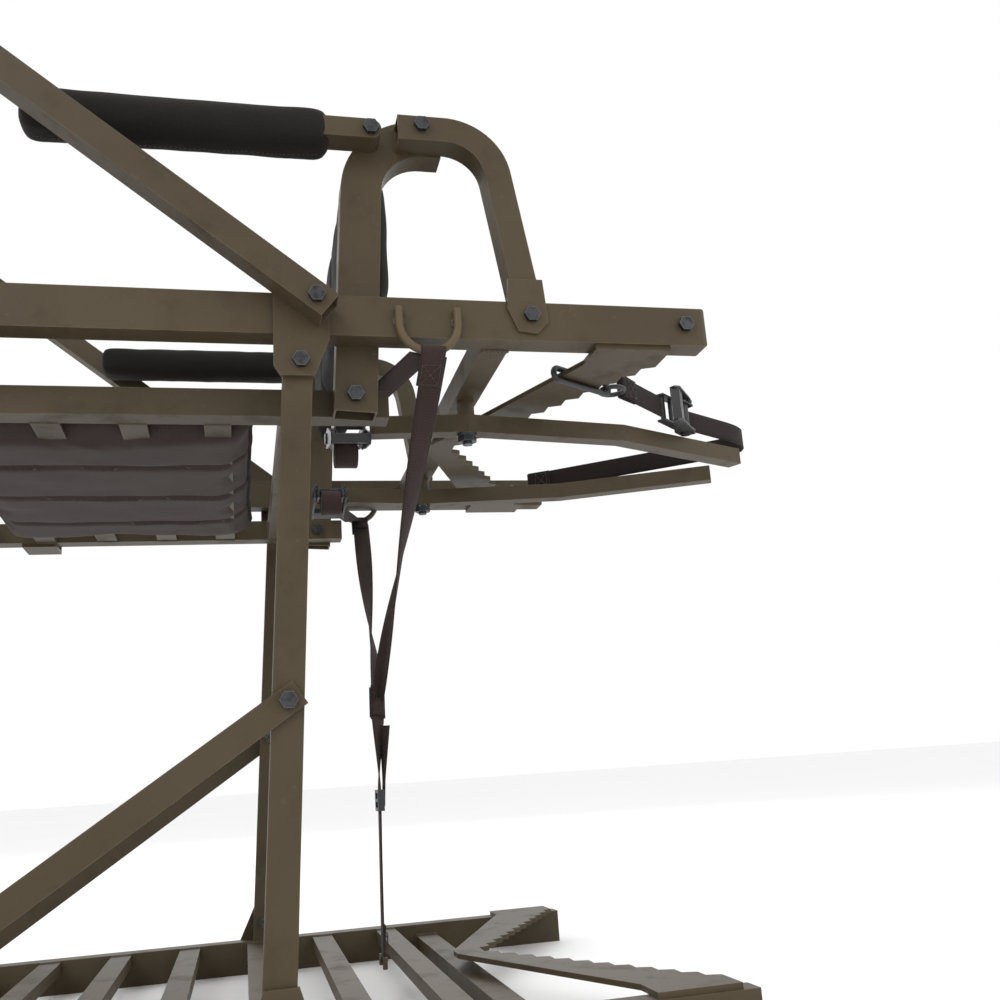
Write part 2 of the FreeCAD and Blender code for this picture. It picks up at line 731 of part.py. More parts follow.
def shooting_arm():
    """Left arm of the shooting rail, sloping up and forward from its pivot."""
    slope = math.radians(shoot_turn)
    start = (shoot_x - 14 * math.cos(slope), shoot_z - 14 * math.sin(slope))
    moves = [(shoot_length + 14,)]
    outer = bent_strip(start, shoot_turn, moves, tube / 2, -shoot_out, -shoot_in)
    inner = bent_strip(start, shoot_turn, moves, tube / 2 - wall, -shoot_out + wall, -shoot_in - wall)
    return drilled(outer.cut(inner), [shoot_bolt], bolt_radius + pin_clearance)


def shooting_crossbar():
    """Round bar between the upper ends of the shooting rail arms."""
    slope = math.radians(shoot_turn)
    reach = shoot_length - 18
    x, z = shoot_x + reach * math.cos(slope), shoot_z + reach * math.sin(slope)
    outer = along_y(x, z, -shoot_in, shoot_in, 11.0)
    return outer.cut(along_y(x, z, -shoot_in, shoot_in, 11.0 - wall))


def shooting_pad():
    """Foam sleeve on the crossbar."""
    slope = math.radians(shoot_turn)
    reach = shoot_length - 18
    x, z = shoot_x + reach * math.cos(slope), shoot_z + reach * math.sin(slope)
    outer = along_y(x, z, -shoot_in + 35, shoot_in - 35, 21.0)
    outer = outer.makeFillet(6.0, [edge for edge in outer.Edges if len(edge.Vertexes) == 1])
    return outer.cut(along_y(x, z, -shoot_in, shoot_in, 11.0))


# ---- foot platform ------------------------------------------------------------------------------
platform_rear_x = platform_front_x + platform_length
slat_top = platform_top - 2
slat_half = 12.0


def platform_side_tube():
    """Left side tube of the platform."""
    body = box_tube(platform_front_x, platform_rear_x, -rail_out, -rail_in, 0, platform_top, "x")
    return drilled(body, foot_bolts[1:] + strut_bolts()[1:])


def platform_cross_tubes():
    """Front and rear cross tubes of the platform."""
    front = cross_tube(platform_front_x + tube / 2, tube / 2, rail_in)
    rear = cross_tube(pivot_x, tube / 2, rail_in)
    return Part.makeCompound([front, rear])


def platform_slats():
    """Flat channels that make the floor, bent down along both edges."""
    first, last = platform_front_x + 62, pivot_x - 52
    lip = 14.0
    slats = []
    for k in range(slat_count):
        x = first + (last - first) * k / (slat_count - 1)
        body = block(x - slat_half, x + slat_half, -rail_in, rail_in, slat_top - lip, slat_top)
        slats.append(body.cut(block(x - slat_half + 2, x + slat_half - 2, -rail_in, rail_in,
                                    slat_top - lip, slat_top - 2)))
    return Part.makeCompound(slats)


def foot_brackets():
    """Plates that join the uprights to the platform."""
    x = post_foot_x
    outline = [(x - 30, 6), (x + 30, 6), (x + 30, platform_top - 4), (x + 16, platform_top + 40),
               (x - 10, platform_top + 40), (x - 30, platform_top - 4)]
    return both_sides([drilled(side_plate(outline, -plate_out, -rail_out), foot_bolts)])


strut_width = 22.0
strut_thick = 4.0


def strut_bolts():
    """Bolts at the upper and the lower end of the left strut."""
    rise = 250.0
    upper_x = post_foot_x + post_lean * rise
    head_y = -rail_out - strut_thick
    return [(upper_x, platform_top + rise, head_y, tube + strut_thick),
            (platform_front_x + 90, platform_top - 19, head_y, tube + strut_thick)]


def struts():
    """Flat bars from the uprights to the front of the platform."""
    upper, lower = strut_bolts()
    points = [(lower[0], lower[1]), (upper[0], upper[1])]
    dx, dz = unit(*points)
    reach = strut_width / 2
    longer = [(lower[0] - dx * reach, lower[1] - dz * reach),
              (upper[0] + dx * reach, upper[1] + dz * reach)]
    bar = side_plate(offset_strip(longer, strut_width / 2), -rail_out - strut_thick, -rail_out)
    return both_sides([drilled(bar, strut_bolts())])


# ---- fasteners ----------------------------------------------------------------------------------
def bolts_of(places):
    """Matching bolts on both sides."""
    return both_sides([bolt_y(*place) for place in places])


def lock_nuts():
    """Every nut of the horizontal bolts."""
    places = frame_bolts + strut_bolts() + [shoot_bolt, arm_bolt, seat_bolt]
    return both_sides([nut_y(x, z, head_y + grip) for x, z, head_y, grip in places])


def all_pieces():
    """Every node and its shape."""
    pieces = {
        "rear_cross_tube": rear_cross_tube(),
        "front_cross_tube": cross_tube(rail_rear_x - rail_length + tube / 2, rail_z, rail_in),
        "gripper_blade": gripper_blade(blade_bottom),
        "eye_loops": eye_loops(),
        "jaw_spacers": jaw_spacers(),
        "jaw_pivot_bolts": jaw_pivot_bolts(),
        "jaw_pivot_washers": jaw_pivot_washers(),
        "jaw_pivot_nuts": jaw_pivot_nuts(),
        "pull_strap_tail": pull_strap_tail(),
        "tail_buckle": tail_buckle(),
        "tail_anchor": tail_anchor(),
        "strap_hooks": strap_hooks(),
        "rear_strap": rear_strap(),
        "rear_strap_loop": rear_strap_loop(),
        "rear_ratchet_frame": placed(ratchet_frame(), rear_place),
        "rear_ratchet_spool": placed(ratchet_spool(), rear_place),
        "rear_ratchet_handle": placed(ratchet_handle(), rear_place),
        "seat_cross_tubes": seat_cross_tubes(),
        "seat_bars": seat_bars(),
        "seat_stops": seat_stops(),
        "side_rails": both_sides([side_rail()]),
        "seat_cushion": seat_cushion(),
        "back_bars": back_bars(),
        "back_pad": back_pad(),
        "shooting_crossbar": shooting_crossbar(),
        "shooting_pad": shooting_pad(),
        "platform_side_tubes": both_sides([platform_side_tube()]),
        "platform_cross_tubes": platform_cross_tubes(),
        "platform_slats": platform_slats(),
        "platform_blade": gripper_blade(platform_top),
        "foot_brackets": foot_brackets(),
        "brackets": both_sides([bracket()]),
        "uprights": both_sides([upright()]),
        "braces": both_sides([brace()]),
        "back_posts": both_sides([back_post()]),
        "seat_side_tubes": both_sides([seat_side_tube()]),
        "shooting_arms": both_sides([shooting_arm()]),
        "rail_plugs": both_sides([rail_plug()]),
        "platform_struts": struts(),
        "frame_bolts": bolts_of(frame_bolts + strut_bolts()),
        "pivot_bolts": bolts_of([shoot_bolt, arm_bolt, seat_bolt]),
        "lock_nuts": lock_nuts(),
    }
    paired = {
        "jaw_arm": jaw_arm(),
        "jaw_bush": jaw_bush(),
        "jaw_strap": jaw_strap(),
        "pull_strap": pull_strap(),
        "arm_rest": arm_rest(),
        "arm_pad": arm_pad(),
        "jaw_ratchet_frame": placed(ratchet_frame(), front_place),
        "jaw_ratchet_spool": placed(ratchet_spool(), front_place),
        "jaw_ratchet_handle": placed(ratchet_handle(), front_place),
    }
    for name, shape in paired.items():
        pieces[name + "_left"] = shape
        pieces[name + "_right"] = mirrored(shape)
    return pieces


def main():
    os.makedirs("parts", exist_ok=True)
    for name, shape in all_pieces().items():
        shape.exportStep(os.path.join("parts", name + ".step"))
        print(name, len(shape.Solids), shape.isValid(), round(shape.Volume))


main()
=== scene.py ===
"""Climbing tree stand: straps, padding, welds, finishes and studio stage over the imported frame."""
import json
import math

import bmesh
import bpy
from mathutils import Matrix, Vector, noise
from mathutils.bvhtree import BVHTree


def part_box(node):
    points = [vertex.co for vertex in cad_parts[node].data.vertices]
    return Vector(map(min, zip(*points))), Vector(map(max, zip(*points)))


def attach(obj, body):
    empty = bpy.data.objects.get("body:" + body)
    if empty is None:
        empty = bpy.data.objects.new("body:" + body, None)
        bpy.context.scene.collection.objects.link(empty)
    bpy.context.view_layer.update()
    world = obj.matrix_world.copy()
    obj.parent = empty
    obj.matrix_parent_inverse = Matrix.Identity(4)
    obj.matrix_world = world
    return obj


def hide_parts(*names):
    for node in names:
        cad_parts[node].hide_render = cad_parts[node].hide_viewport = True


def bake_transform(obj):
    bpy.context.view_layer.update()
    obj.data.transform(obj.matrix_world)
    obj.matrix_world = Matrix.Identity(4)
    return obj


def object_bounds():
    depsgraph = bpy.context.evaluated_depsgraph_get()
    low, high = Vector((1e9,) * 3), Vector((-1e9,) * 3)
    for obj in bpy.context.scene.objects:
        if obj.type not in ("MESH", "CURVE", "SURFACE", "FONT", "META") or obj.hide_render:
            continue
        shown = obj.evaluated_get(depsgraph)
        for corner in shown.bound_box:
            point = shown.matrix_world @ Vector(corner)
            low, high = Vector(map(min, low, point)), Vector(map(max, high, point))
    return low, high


bl_info = {
    "name": "Climbing Tree Stand",
    "version": (1, 0, 0),
    "blender": (4, 5, 0),
    "location": "View3D > Sidebar > Tree Stand",
    "description": "Straps, padding, welds, finishes and stage of a tree stand",
    "category": "Add Mesh",
}

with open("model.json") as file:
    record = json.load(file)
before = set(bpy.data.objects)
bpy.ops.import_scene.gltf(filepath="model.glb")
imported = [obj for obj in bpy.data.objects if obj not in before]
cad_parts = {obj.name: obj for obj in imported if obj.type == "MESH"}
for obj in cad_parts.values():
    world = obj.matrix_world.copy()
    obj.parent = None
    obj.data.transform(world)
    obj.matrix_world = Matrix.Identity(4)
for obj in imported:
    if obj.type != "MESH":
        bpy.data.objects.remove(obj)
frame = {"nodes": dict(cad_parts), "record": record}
cad_low, cad_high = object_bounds()


# ---- settings ----
def length(name, description, default):
    """A size in metres."""
    return bpy.props.FloatProperty(name=name, description=description, default=default, unit="LENGTH")


def colour(name, description, default):
    """A linear colour."""
    return bpy.props.FloatVectorProperty(name=name, description=description, default=default, subtype="COLOR")


class StandSizes(bpy.types.PropertyGroup):
    """Sizes that a user would change."""
    webbing_width: length("Webbing width", "Width of every strap", 0.025)
    webbing_thickness: length("Webbing thickness", "Thickness of every strap", 0.0016)
    stitch_length: length("Stitch length", "Length of one stitch", 0.004)
    weld_size: length("Weld size", "Radius of a weld bead", 0.0022)
    piping_radius: length("Piping radius", "Radius of the piping round the padding", 0.0028)
    pad_voxel: length("Padding voxel", "Mesh size of the inflated padding", 0.006)


class StandColours(bpy.types.PropertyGroup):
    """Colours that a user would change."""
    paint: colour("Powder coat", "Olive-tan coat of the tubes", (0.058, 0.042, 0.022))
    worn_paint: colour("Worn coat", "Coat rubbed thin along the edges", (0.13, 0.097, 0.056))
    webbing: colour("Webbing", "Brown strap", (0.036, 0.023, 0.021))
    seat_cloth: colour("Seat cloth", "Brown woven seat cover", (0.042, 0.029, 0.027))
    pad_cloth: colour("Pad cloth", "Near-black woven cover", (0.010, 0.009, 0.008))
    black_coat: colour("Black coat", "Ratchets, hooks and buckle", (0.012, 0.012, 0.014))
    zinc: colour("Dark zinc", "Bolts and nuts", (0.060, 0.063, 0.068))


def sizes():
    """The sizes in use."""
    return bpy.context.scene.stand_sizes


def colours():
    """The colours in use."""
    return bpy.context.scene.stand_colours


# ---- shader maths ----
class Wire:
    """A shader socket that does arithmetic: each operation adds a Math node."""

    def __init__(self, surface, socket):
        self.surface = surface
        self.socket = socket

    def maths(self, operation, first, second=None):
        values = {0: first} if second is None else {0: first, 1: second}
        return self.surface.node("ShaderNodeMath", {"operation": operation}, values)

    def __add__(self, other):
        return self.maths("ADD", self, other)

    def __radd__(self, other):
        return self.maths("ADD", other, self)

    def __sub__(self, other):
        return self.maths("SUBTRACT", self, other)

    def __rsub__(self, other):
        return self.maths("SUBTRACT", other, self)

    def __mul__(self, other):
        return self.maths("MULTIPLY", self, other)

    def __rmul__(self, other):
        return self.maths("MULTIPLY", other, self)

    def sine(self):
        return self.maths("SINE", self)

    def absolute(self):
        return self.maths("ABSOLUTE", self)

    def clamped(self):
        return self.surface.node("ShaderNodeClamp", {}, {0: self})


class Surface:
    """A material with one Principled shader, built from nodes."""

    def __init__(self, name, **constants):
        self.material = bpy.data.materials.new(name)
        self.material.use_nodes = True
        self.tree = self.material.node_tree
        self.shader = self.tree.nodes["Principled BSDF"]
        for socket, value in constants.items():
            self.shader.inputs[socket.replace("_", " ")].default_value = value

    def node(self, kind, settings, values, output=0):
        """Add a node: its settings first, then the values or links of its sockets."""
        made = self.tree.nodes.new(kind)
        for key, value in settings.items():
            setattr(made, key, value)
        for key, value in values.items():
            if isinstance(value, Wire):
                self.tree.links.new(value.socket, made.inputs[key])
            else:
                made.inputs[key].default_value = value
        return Wire(self, made.outputs[output])

    def place(self):
        """Position on the object, in metres."""
        return self.node("ShaderNodeTexCoord", {}, {}, "Object")

    def parts_of(self, vector):
        """The three numbers of a vector."""
        split = self.node("ShaderNodeSeparateXYZ", {}, {0: vector})
        return [Wire(self, socket) for socket in split.socket.node.outputs]

    def noise(self, scale, detail=4.0, roughness=0.55, vector=None):
        """Smooth noise from 0 to 1."""
        values = {"Vector": vector or self.place(), "Scale": scale, "Detail": detail,
                  "Roughness": roughness}
        return self.node("ShaderNodeTexNoise", {}, values, "Fac")

    def step(self, value, low, high):
        """0 below low, 1 above high."""
        return self.node("ShaderNodeMapRange", {"interpolation_type": "SMOOTHSTEP"},
                         {"Value": value, "From Min": low, "From Max": high})

    def mix(self, factor, first, second):
        """Colour between two colours."""
        values = {0: factor, 6: colour_of(first), 7: colour_of(second)}
        return self.node("ShaderNodeMix", {"data_type": "RGBA"}, values, 2)

    def shades(self, factor, base, dark, light):
        """Colour between a darker and a lighter shade of one colour."""
        return self.mix(factor, shaded(base, dark), shaded(base, light))

    def worn_edges(self, radius):
        """1 along the edges of a piece, 0 on its faces."""
        soft = self.node("ShaderNodeBevel", {"samples": 4}, {"Radius": radius}, "Normal")
        flat = self.node("ShaderNodeNewGeometry", {}, {}, "Normal")
        dot = self.node("ShaderNodeVectorMath", {"operation": "DOT_PRODUCT"}, {0: soft, 1: flat}, "Value")
        return self.step(1 - dot, 0.02, 0.22)

    def feed(self, socket, wire):
        """Link a varying value to the shader."""
        self.tree.links.new(wire.socket, self.shader.inputs[socket])

    def bump(self, height, distance, strength=1.0):
        """Relief from a height."""
        values = {"Height": height, "Distance": distance, "Strength": strength}
        self.feed("Normal", self.node("ShaderNodeBump", {}, values))


def colour_of(value):
    """A colour socket's four numbers."""
    return value if isinstance(value, Wire) else (*value[:3], 1.0)


def shaded(colour, factor):
    """A colour made lighter or darker."""
    return tuple(channel * factor for channel in colour)


made_surfaces = {}


def finish_named(name):
    """The material of that name, made once."""
    if name not in made_surfaces:
        made_surfaces[name] = FINISHES[name](name).material
    return made_surfaces[name]


def powder_coat(name, lighter=1.0):
    """Olive-tan powder coat: orange peel, dust in broad patches, coat rubbed thin on the edges."""
    surface = Surface(name, Specular_IOR_Level=0.26)
    patches = surface.noise(7.0, 5.0)
    grime = surface.step(surface.noise(23.0, 6.0, 0.65), 0.50, 0.72)
    fine = surface.noise(420.0, 3.0)
    scuffs = surface.step(surface.noise(95.0, 6.0, 0.7), 0.62, 0.70)
    paint = shaded(colours().paint, lighter)
    body = surface.shades(surface.step(patches, 0.3, 0.7), paint, 0.88, 1.12)
    body = surface.mix(grime * 0.45, body, shaded(paint, 0.62))
    edge = surface.worn_edges(0.0022) * surface.step(surface.noise(60.0, 5.0), 0.30, 0.62)
    body = surface.mix((edge * 0.55).clamped(), body, colours().worn_paint)
    body = surface.mix(scuffs * 0.22, body, colours().worn_paint)
    surface.feed("Base Color", body)
    surface.feed("Roughness", 0.46 + grime * 0.14 + fine * 0.10 - edge * 0.08)
    surface.bump(surface.noise(900.0, 2.0) + scuffs * 0.5, 0.00012, 0.7)
    return surface


def weld_metal(name):
    """Coated weld bead: the coat over ripples."""
    surface = Surface(name, Roughness=0.5)
    paint = colours().paint
    surface.feed("Base Color", surface.shades(surface.noise(160.0), paint, 0.65, 1.05))
    surface.bump(surface.noise(700.0), 0.0002)
    return surface


def dark_zinc(name):
    """Zinc-plated bolt: grey with darker stains and rust freckles."""
    surface = Surface(name, Metallic=0.85)
    stain = surface.step(surface.noise(140.0, 5.0), 0.42, 0.66)
    rust = surface.step(surface.noise(310.0, 4.0), 0.64, 0.72)
    edge = surface.worn_edges(0.0012)
    body = surface.mix(stain * 0.7, colours().zinc, shaded(colours().zinc, 0.35))
    body = surface.mix(rust * 0.7, body, (0.16, 0.05, 0.02))
    body = surface.mix(edge * 0.6, body, (0.26, 0.265, 0.27))
    surface.feed("Base Color", body)
    surface.feed("Roughness", 0.34 + stain * 0.22 + rust * 0.3)
    surface.bump(surface.noise(800.0), 0.00008)
    return surface


def black_coat(name):
    """Black coat on stamped steel, bare along its edges."""
    surface = Surface(name, Specular_IOR_Level=0.5)
    edge = surface.worn_edges(0.0010) * surface.step(surface.noise(180.0, 4.0), 0.35, 0.6)
    dust = surface.step(surface.noise(60.0, 5.0), 0.45, 0.75)
    body = surface.mix(dust * 0.5, colours().black_coat, shaded(colours().black_coat, 2.6))
    body = surface.mix(edge * 0.7, body, (0.30, 0.30, 0.31))
    surface.feed("Base Color", body)
    surface.feed("Roughness", 0.36 + dust * 0.24)
    surface.feed("Metallic", edge * 0.8)
    surface.bump(surface.noise(650.0), 0.00008)
    return surface


def brass_bush(name):
    """Turned brass."""
    surface = Surface(name, Metallic=1.0)
    rings = (surface.parts_of(surface.place())[2] * 9000.0).sine() * 0.5 + 0.5
    surface.feed("Base Color", surface.mix(rings, (0.50, 0.36, 0.15), (0.62, 0.46, 0.2)))
    surface.feed("Roughness", 0.26 + surface.noise(300.0) * 0.2)
    surface.bump(rings, 0.00004)
    return surface


def moulded_plastic(name):
    """Olive-tan moulded plug with a fine texture."""
    surface = Surface(name)
    paint = shaded(colours().paint, 0.85)
    surface.feed("Base Color", surface.shades(surface.noise(40.0), paint, 0.9, 1.1))
    surface.feed("Roughness", 0.52 + surface.noise(300.0) * 0.14)
    surface.bump(surface.noise(1100.0), 0.0001)
    return surface


def webbing_cloth(name, darker=1.0):
    """Woven strap: twill ribs across, two raised selvedges, frayed colour."""
    surface = Surface(name, Specular_IOR_Level=0.15, Sheen_Weight=0.06, Sheen_Roughness=0.5)
    strap = surface.node("ShaderNodeUVMap", {"uv_map": "strap"}, {})
    along, across = surface.parts_of(strap)[:2]
    ribs = (along * 3900.0 + (across - 0.5).absolute() * 9.0).sine() * 0.5 + 0.5
    warp = (across * 94.0).sine() * 0.5 + 0.5
    weave = ribs * 0.65 + warp * 0.35
    selvedge = surface.step((across - 0.5).absolute(), 0.40, 0.44)
    fade = surface.step(surface.noise(14.0, 5.0), 0.35, 0.7)
    # A darker factor below 1 paints shade into the strap colour.
    base = shaded(colours().webbing, darker)
    body = surface.shades(weave, base, 0.55, 1.25)
    body = surface.mix(fade * 0.35, body, shaded(base, 1.7))
    body = surface.mix(selvedge * 0.4, body, shaded(base, 0.6))
    surface.feed("Base Color", body)
    surface.feed("Roughness", 0.78 + fade * 0.14)
    surface.bump(weave + selvedge * 0.6, 0.00035)
    return surface


def dark_webbing(name):
    """Strap behind the tree, its colour painted darker as painted shade."""
    return webbing_cloth(name, 0.42)


def light_coat(name):
    """Eye loops: the coat over bright rod."""
    return powder_coat(name, 1.45)


def woven_cloth(name, base, pitch, relief):
    """Plain weave seen the same on every side, with broad fading and lint."""
    surface = Surface(name, Specular_IOR_Level=0.14, Sheen_Weight=0.07, Sheen_Roughness=0.45)
    x, y, z = surface.parts_of(surface.place())
    turns = 2 * math.pi / pitch
    first = ((x + z) * turns).sine() * ((y + z * 0.5) * turns).sine()
    second = ((x - z) * turns).sine() * (y * turns).sine()
    weave = (first * 0.5 + second * 0.5) * 0.5 + 0.5
    fade = surface.step(surface.noise(9.0, 5.0), 0.3, 0.72)
    lint = surface.step(surface.noise(260.0, 3.0), 0.66, 0.74)
    body = surface.shades(weave, base, 0.6, 1.3)
    body = surface.mix(fade * 0.4, body, shaded(base, 1.6))
    body = surface.mix(lint * 0.25, body, shaded(base, 2.8))
    surface.feed("Base Color", body)
    surface.feed("Roughness", 0.80 + fade * 0.12)
    surface.bump(weave, relief)
    return surface


def seat_cloth(name):
    """Brown woven seat cover."""
    return woven_cloth(name, colours().seat_cloth, 0.0022, 0.0004)


def pad_cloth(name):
    """Near-black woven cover of the back and arm pads."""
    return woven_cloth(name, colours().pad_cloth, 0.0018, 0.0003)


def foam_skin(name):
    """Closed-cell foam sleeve: pores and soft dents."""
    surface = Surface(name, Specular_IOR_Level=0.15)
    pores = surface.node("ShaderNodeTexVoronoi", {}, {"Vector": surface.place(), "Scale": 650.0}, "Distance")
    dents = surface.noise(30.0, 4.0)
    surface.feed("Base Color", surface.mix(dents, (0.009, 0.009, 0.009), (0.022, 0.021, 0.020)))
    surface.feed("Roughness", 0.82 + dents * 0.1)
    surface.bump(pores + dents * 2.0, 0.0005)
    return surface


def thread(name):
    """Sewing thread."""
    surface = Surface(name, Sheen_Weight=0.1)
    base = shaded(colours().webbing, 1.5)
    surface.feed("Base Color", surface.shades(surface.noise(500.0), base, 0.8, 1.2))
    surface.feed("Roughness", 0.6 + surface.noise(200.0) * 0.2)
    surface.bump(surface.noise(2500.0), 0.0001)
    return surface


def studio_floor(name):
    """Pale matt floor."""
    surface = Surface(name, Roughness=0.9)
    surface.feed("Base Color", surface.mix(surface.noise(0.6), (0.90, 0.90, 0.90), (0.93, 0.93, 0.93)))
    return surface


FINISHES = {
    "frame_paint": powder_coat, "light_coat": light_coat, "weld_metal": weld_metal,
    "dark_bolts": dark_zinc, "black_steel": black_coat, "bush_brass": brass_bush,
    "plug_plastic": moulded_plastic, "brown_webbing": webbing_cloth, "dark_webbing": dark_webbing,
    "thread": thread, "seat_fabric": seat_cloth, "pad_fabric": pad_cloth, "foam_sleeve": foam_skin,
    "studio_floor": studio_floor,
}


# ---- mesh building blocks ----
def linked(name, data):
    """A new object in the scene."""
    holder = bpy.data.objects.new(name, data)
    bpy.context.scene.collection.objects.link(holder)
    return holder


def data_from(mesh, name, outward=False):
    """Mesh data from a bmesh, its faces turned outwards if asked."""
    if outward:
        bmesh.ops.recalc_face_normals(mesh, faces=mesh.faces)
    data = bpy.data.meshes.new(name)
    mesh.to_mesh(data)
    mesh.free()
    return data


def skinned(mesh, rings, closed=False):
    """Faces between neighbouring rings of points; closed joins the last ring to the first."""
    for index in range(len(rings) if closed else len(rings) - 1):
        first, second = rings[index], rings[(index + 1) % len(rings)]
        for k in range(len(first)):
            after = (k + 1) % len(first)
            mesh.faces.new([first[k], first[after], second[after], second[k]])


def new_piece(name, mesh, finish, body=None):
    """Link a mesh as a smooth-shaded piece with its finish, riding on a body."""
    piece = linked(name, mesh)
    mesh.materials.append(finish_named(finish))
    for face in mesh.polygons:
        face.use_smooth = True
    if body:
        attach(piece, body)
    return piece


def smooth_route(points):
    """Points along the smooth line of a route's control points."""
    curve = bpy.data.curves.new("route", "CURVE")
    curve.dimensions = "3D"
    spline = curve.splines.new("NURBS")
    spline.points.add(len(points) - 1)
    for place, point in zip(spline.points, points):
        place.co = (*point, 1.0)
    spline.order_u = 3
    spline.use_endpoint_u = True
    spline.resolution_u = 24
    holder = linked("route", curve)
    bpy.context.view_layer.update()
    mesh = bpy.data.meshes.new_from_object(holder)
    line = [vertex.co.copy() for vertex in mesh.vertices]
    bpy.data.objects.remove(holder)
    bpy.data.meshes.remove(mesh)
    bpy.data.curves.remove(curve)
    return line


def spaced(line, gap):
    """The same line with evenly spaced points."""
    lengths = [0.0]
    for before, after in zip(line, line[1:]):
        lengths.append(lengths[-1] + (after - before).length)
    count = max(2, round(lengths[-1] / gap))
    points = []
    index = 0
    for k in range(count + 1):
        want = lengths[-1] * k / count
        while index < len(line) - 2 and lengths[index + 1] < want:
            index += 1
        run = max(lengths[index + 1] - lengths[index], 1e-9)
        points.append(line[index].lerp(line[index + 1], (want - lengths[index]) / run))
    return points


def run_length(line):
    """Length of a line."""
    return sum((after - before).length for before, after in zip(line, line[1:]))


def strap_mesh(name, line, across, turns=0.0, width=None, pinch=None):
    """Flat strap along a line: width along the vector across, turned by turns in all."""
    width = width or sizes().webbing_width
    half_thick = sizes().webbing_thickness / 2
    top = [(-0.47, 1.0), (-0.25, 0.92), (0.0, 0.88), (0.25, 0.92), (0.47, 1.0)]
    section = [(-0.5, 0.0), *top, (0.5, 0.0), *((-u, -v) for u, v in top)]
    mesh = bmesh.new()
    layer = mesh.loops.layers.uv.new("strap")
    rings = []
    stations = []
    travelled = 0.0
    for index, point in enumerate(line):
        ahead = line[min(index + 1, len(line) - 1)] - line[max(index - 1, 0)]
        ahead.normalize()
        side = Vector(across) - ahead * ahead.dot(Vector(across))
        side.normalize()
        fraction = index / (len(line) - 1)
        turned = turns(fraction) if callable(turns) else turns * fraction
        side = Matrix.Rotation(2 * math.pi * turned, 3, ahead) @ side
        face = ahead.cross(side)
        share = pinch(fraction) if pinch else 1.0
        ring = []
        for u, v in section:
            fold = (1 - share) * width * 0.35 * math.cos(2 * math.pi * u)
            ring.append(mesh.verts.new(point + side * (u * width * share) + face * (v * half_thick + fold)))
        rings.append(ring)
        if index:
            travelled += (point - line[index - 1]).length
        stations.append(travelled)
    count = len(section)
    for index in range(len(rings) - 1):
        for k in range(count):
            after = (k + 1) % count
            corners = [(index, k), (index, after), (index + 1, after), (index + 1, k)]
            face = mesh.faces.new([rings[row][column] for row, column in corners])
            for loop, (row, column) in zip(face.loops, corners):
                loop[layer].uv = (stations[row], section[column][0] + 0.5)
    mesh.faces.new(rings[0][::-1])
    mesh.faces.new(rings[-1])
    return data_from(mesh, name, outward=True)


def tube_mesh(name, line, radius, sides=10, closed=False, ripple=0.0):
    """Round tube along a line; ripple makes the radius swell along it."""
    mesh = bmesh.new()
    rings = []
    normal = None
    total = len(line)
    for index, point in enumerate(line):
        before = line[(index - 1) % total] if closed else line[max(index - 1, 0)]
        after = line[(index + 1) % total] if closed else line[min(index + 1, total - 1)]
        ahead = (after - before).normalized()
        if normal is None:
            normal = ahead.orthogonal()
        normal = (normal - ahead * ahead.dot(normal)).normalized()
        second = ahead.cross(normal)
        here = radius * (1 + ripple * math.sin(index * 1.9))
        ring = []
        for k in range(sides):
            angle = 2 * math.pi * k / sides
            place = point + normal * (here * math.cos(angle))
            ring.append(mesh.verts.new(place + second * (here * math.sin(angle))))
        rings.append(ring)
    skinned(mesh, rings, closed)
    if not closed:
        mesh.faces.new(rings[0][::-1])
        mesh.faces.new(rings[-1])
    return data_from(mesh, name, outward=True)


def joined(name, meshes):
    """One mesh from several."""
    whole = bmesh.new()
    for part in meshes:
        whole.from_mesh(part)
        bpy.data.meshes.remove(part)
    return data_from(whole, name)


SIDES = {"left": -1, "right": 1}


# ---- stage ----
def look_along(heading, rise, roll):
    """Camera turn that looks along a heading from +Y towards +X, raised, and rolled."""
    forward = Vector((math.sin(heading) * math.cos(rise), math.cos(heading) * math.cos(rise), math.sin(rise)))
    level = forward.cross(Vector((0, 0, 1))).normalized()
    upright = level.cross(forward)
    right = level * math.cos(roll) + upright * math.sin(roll)
    up = upright * math.cos(roll) - level * math.sin(roll)
    return Matrix((right, up, -forward)).transposed().to_4x4()


CAMERA_PLACE = (0.050, -1.185, 0.221)
CAMERA_LENS = 38.43
CAMERA_TURN = [math.radians(angle) for angle in (14.10, 14.34, -3.96)]  # heading, rise, roll
FLOOR_REACH = 90.0


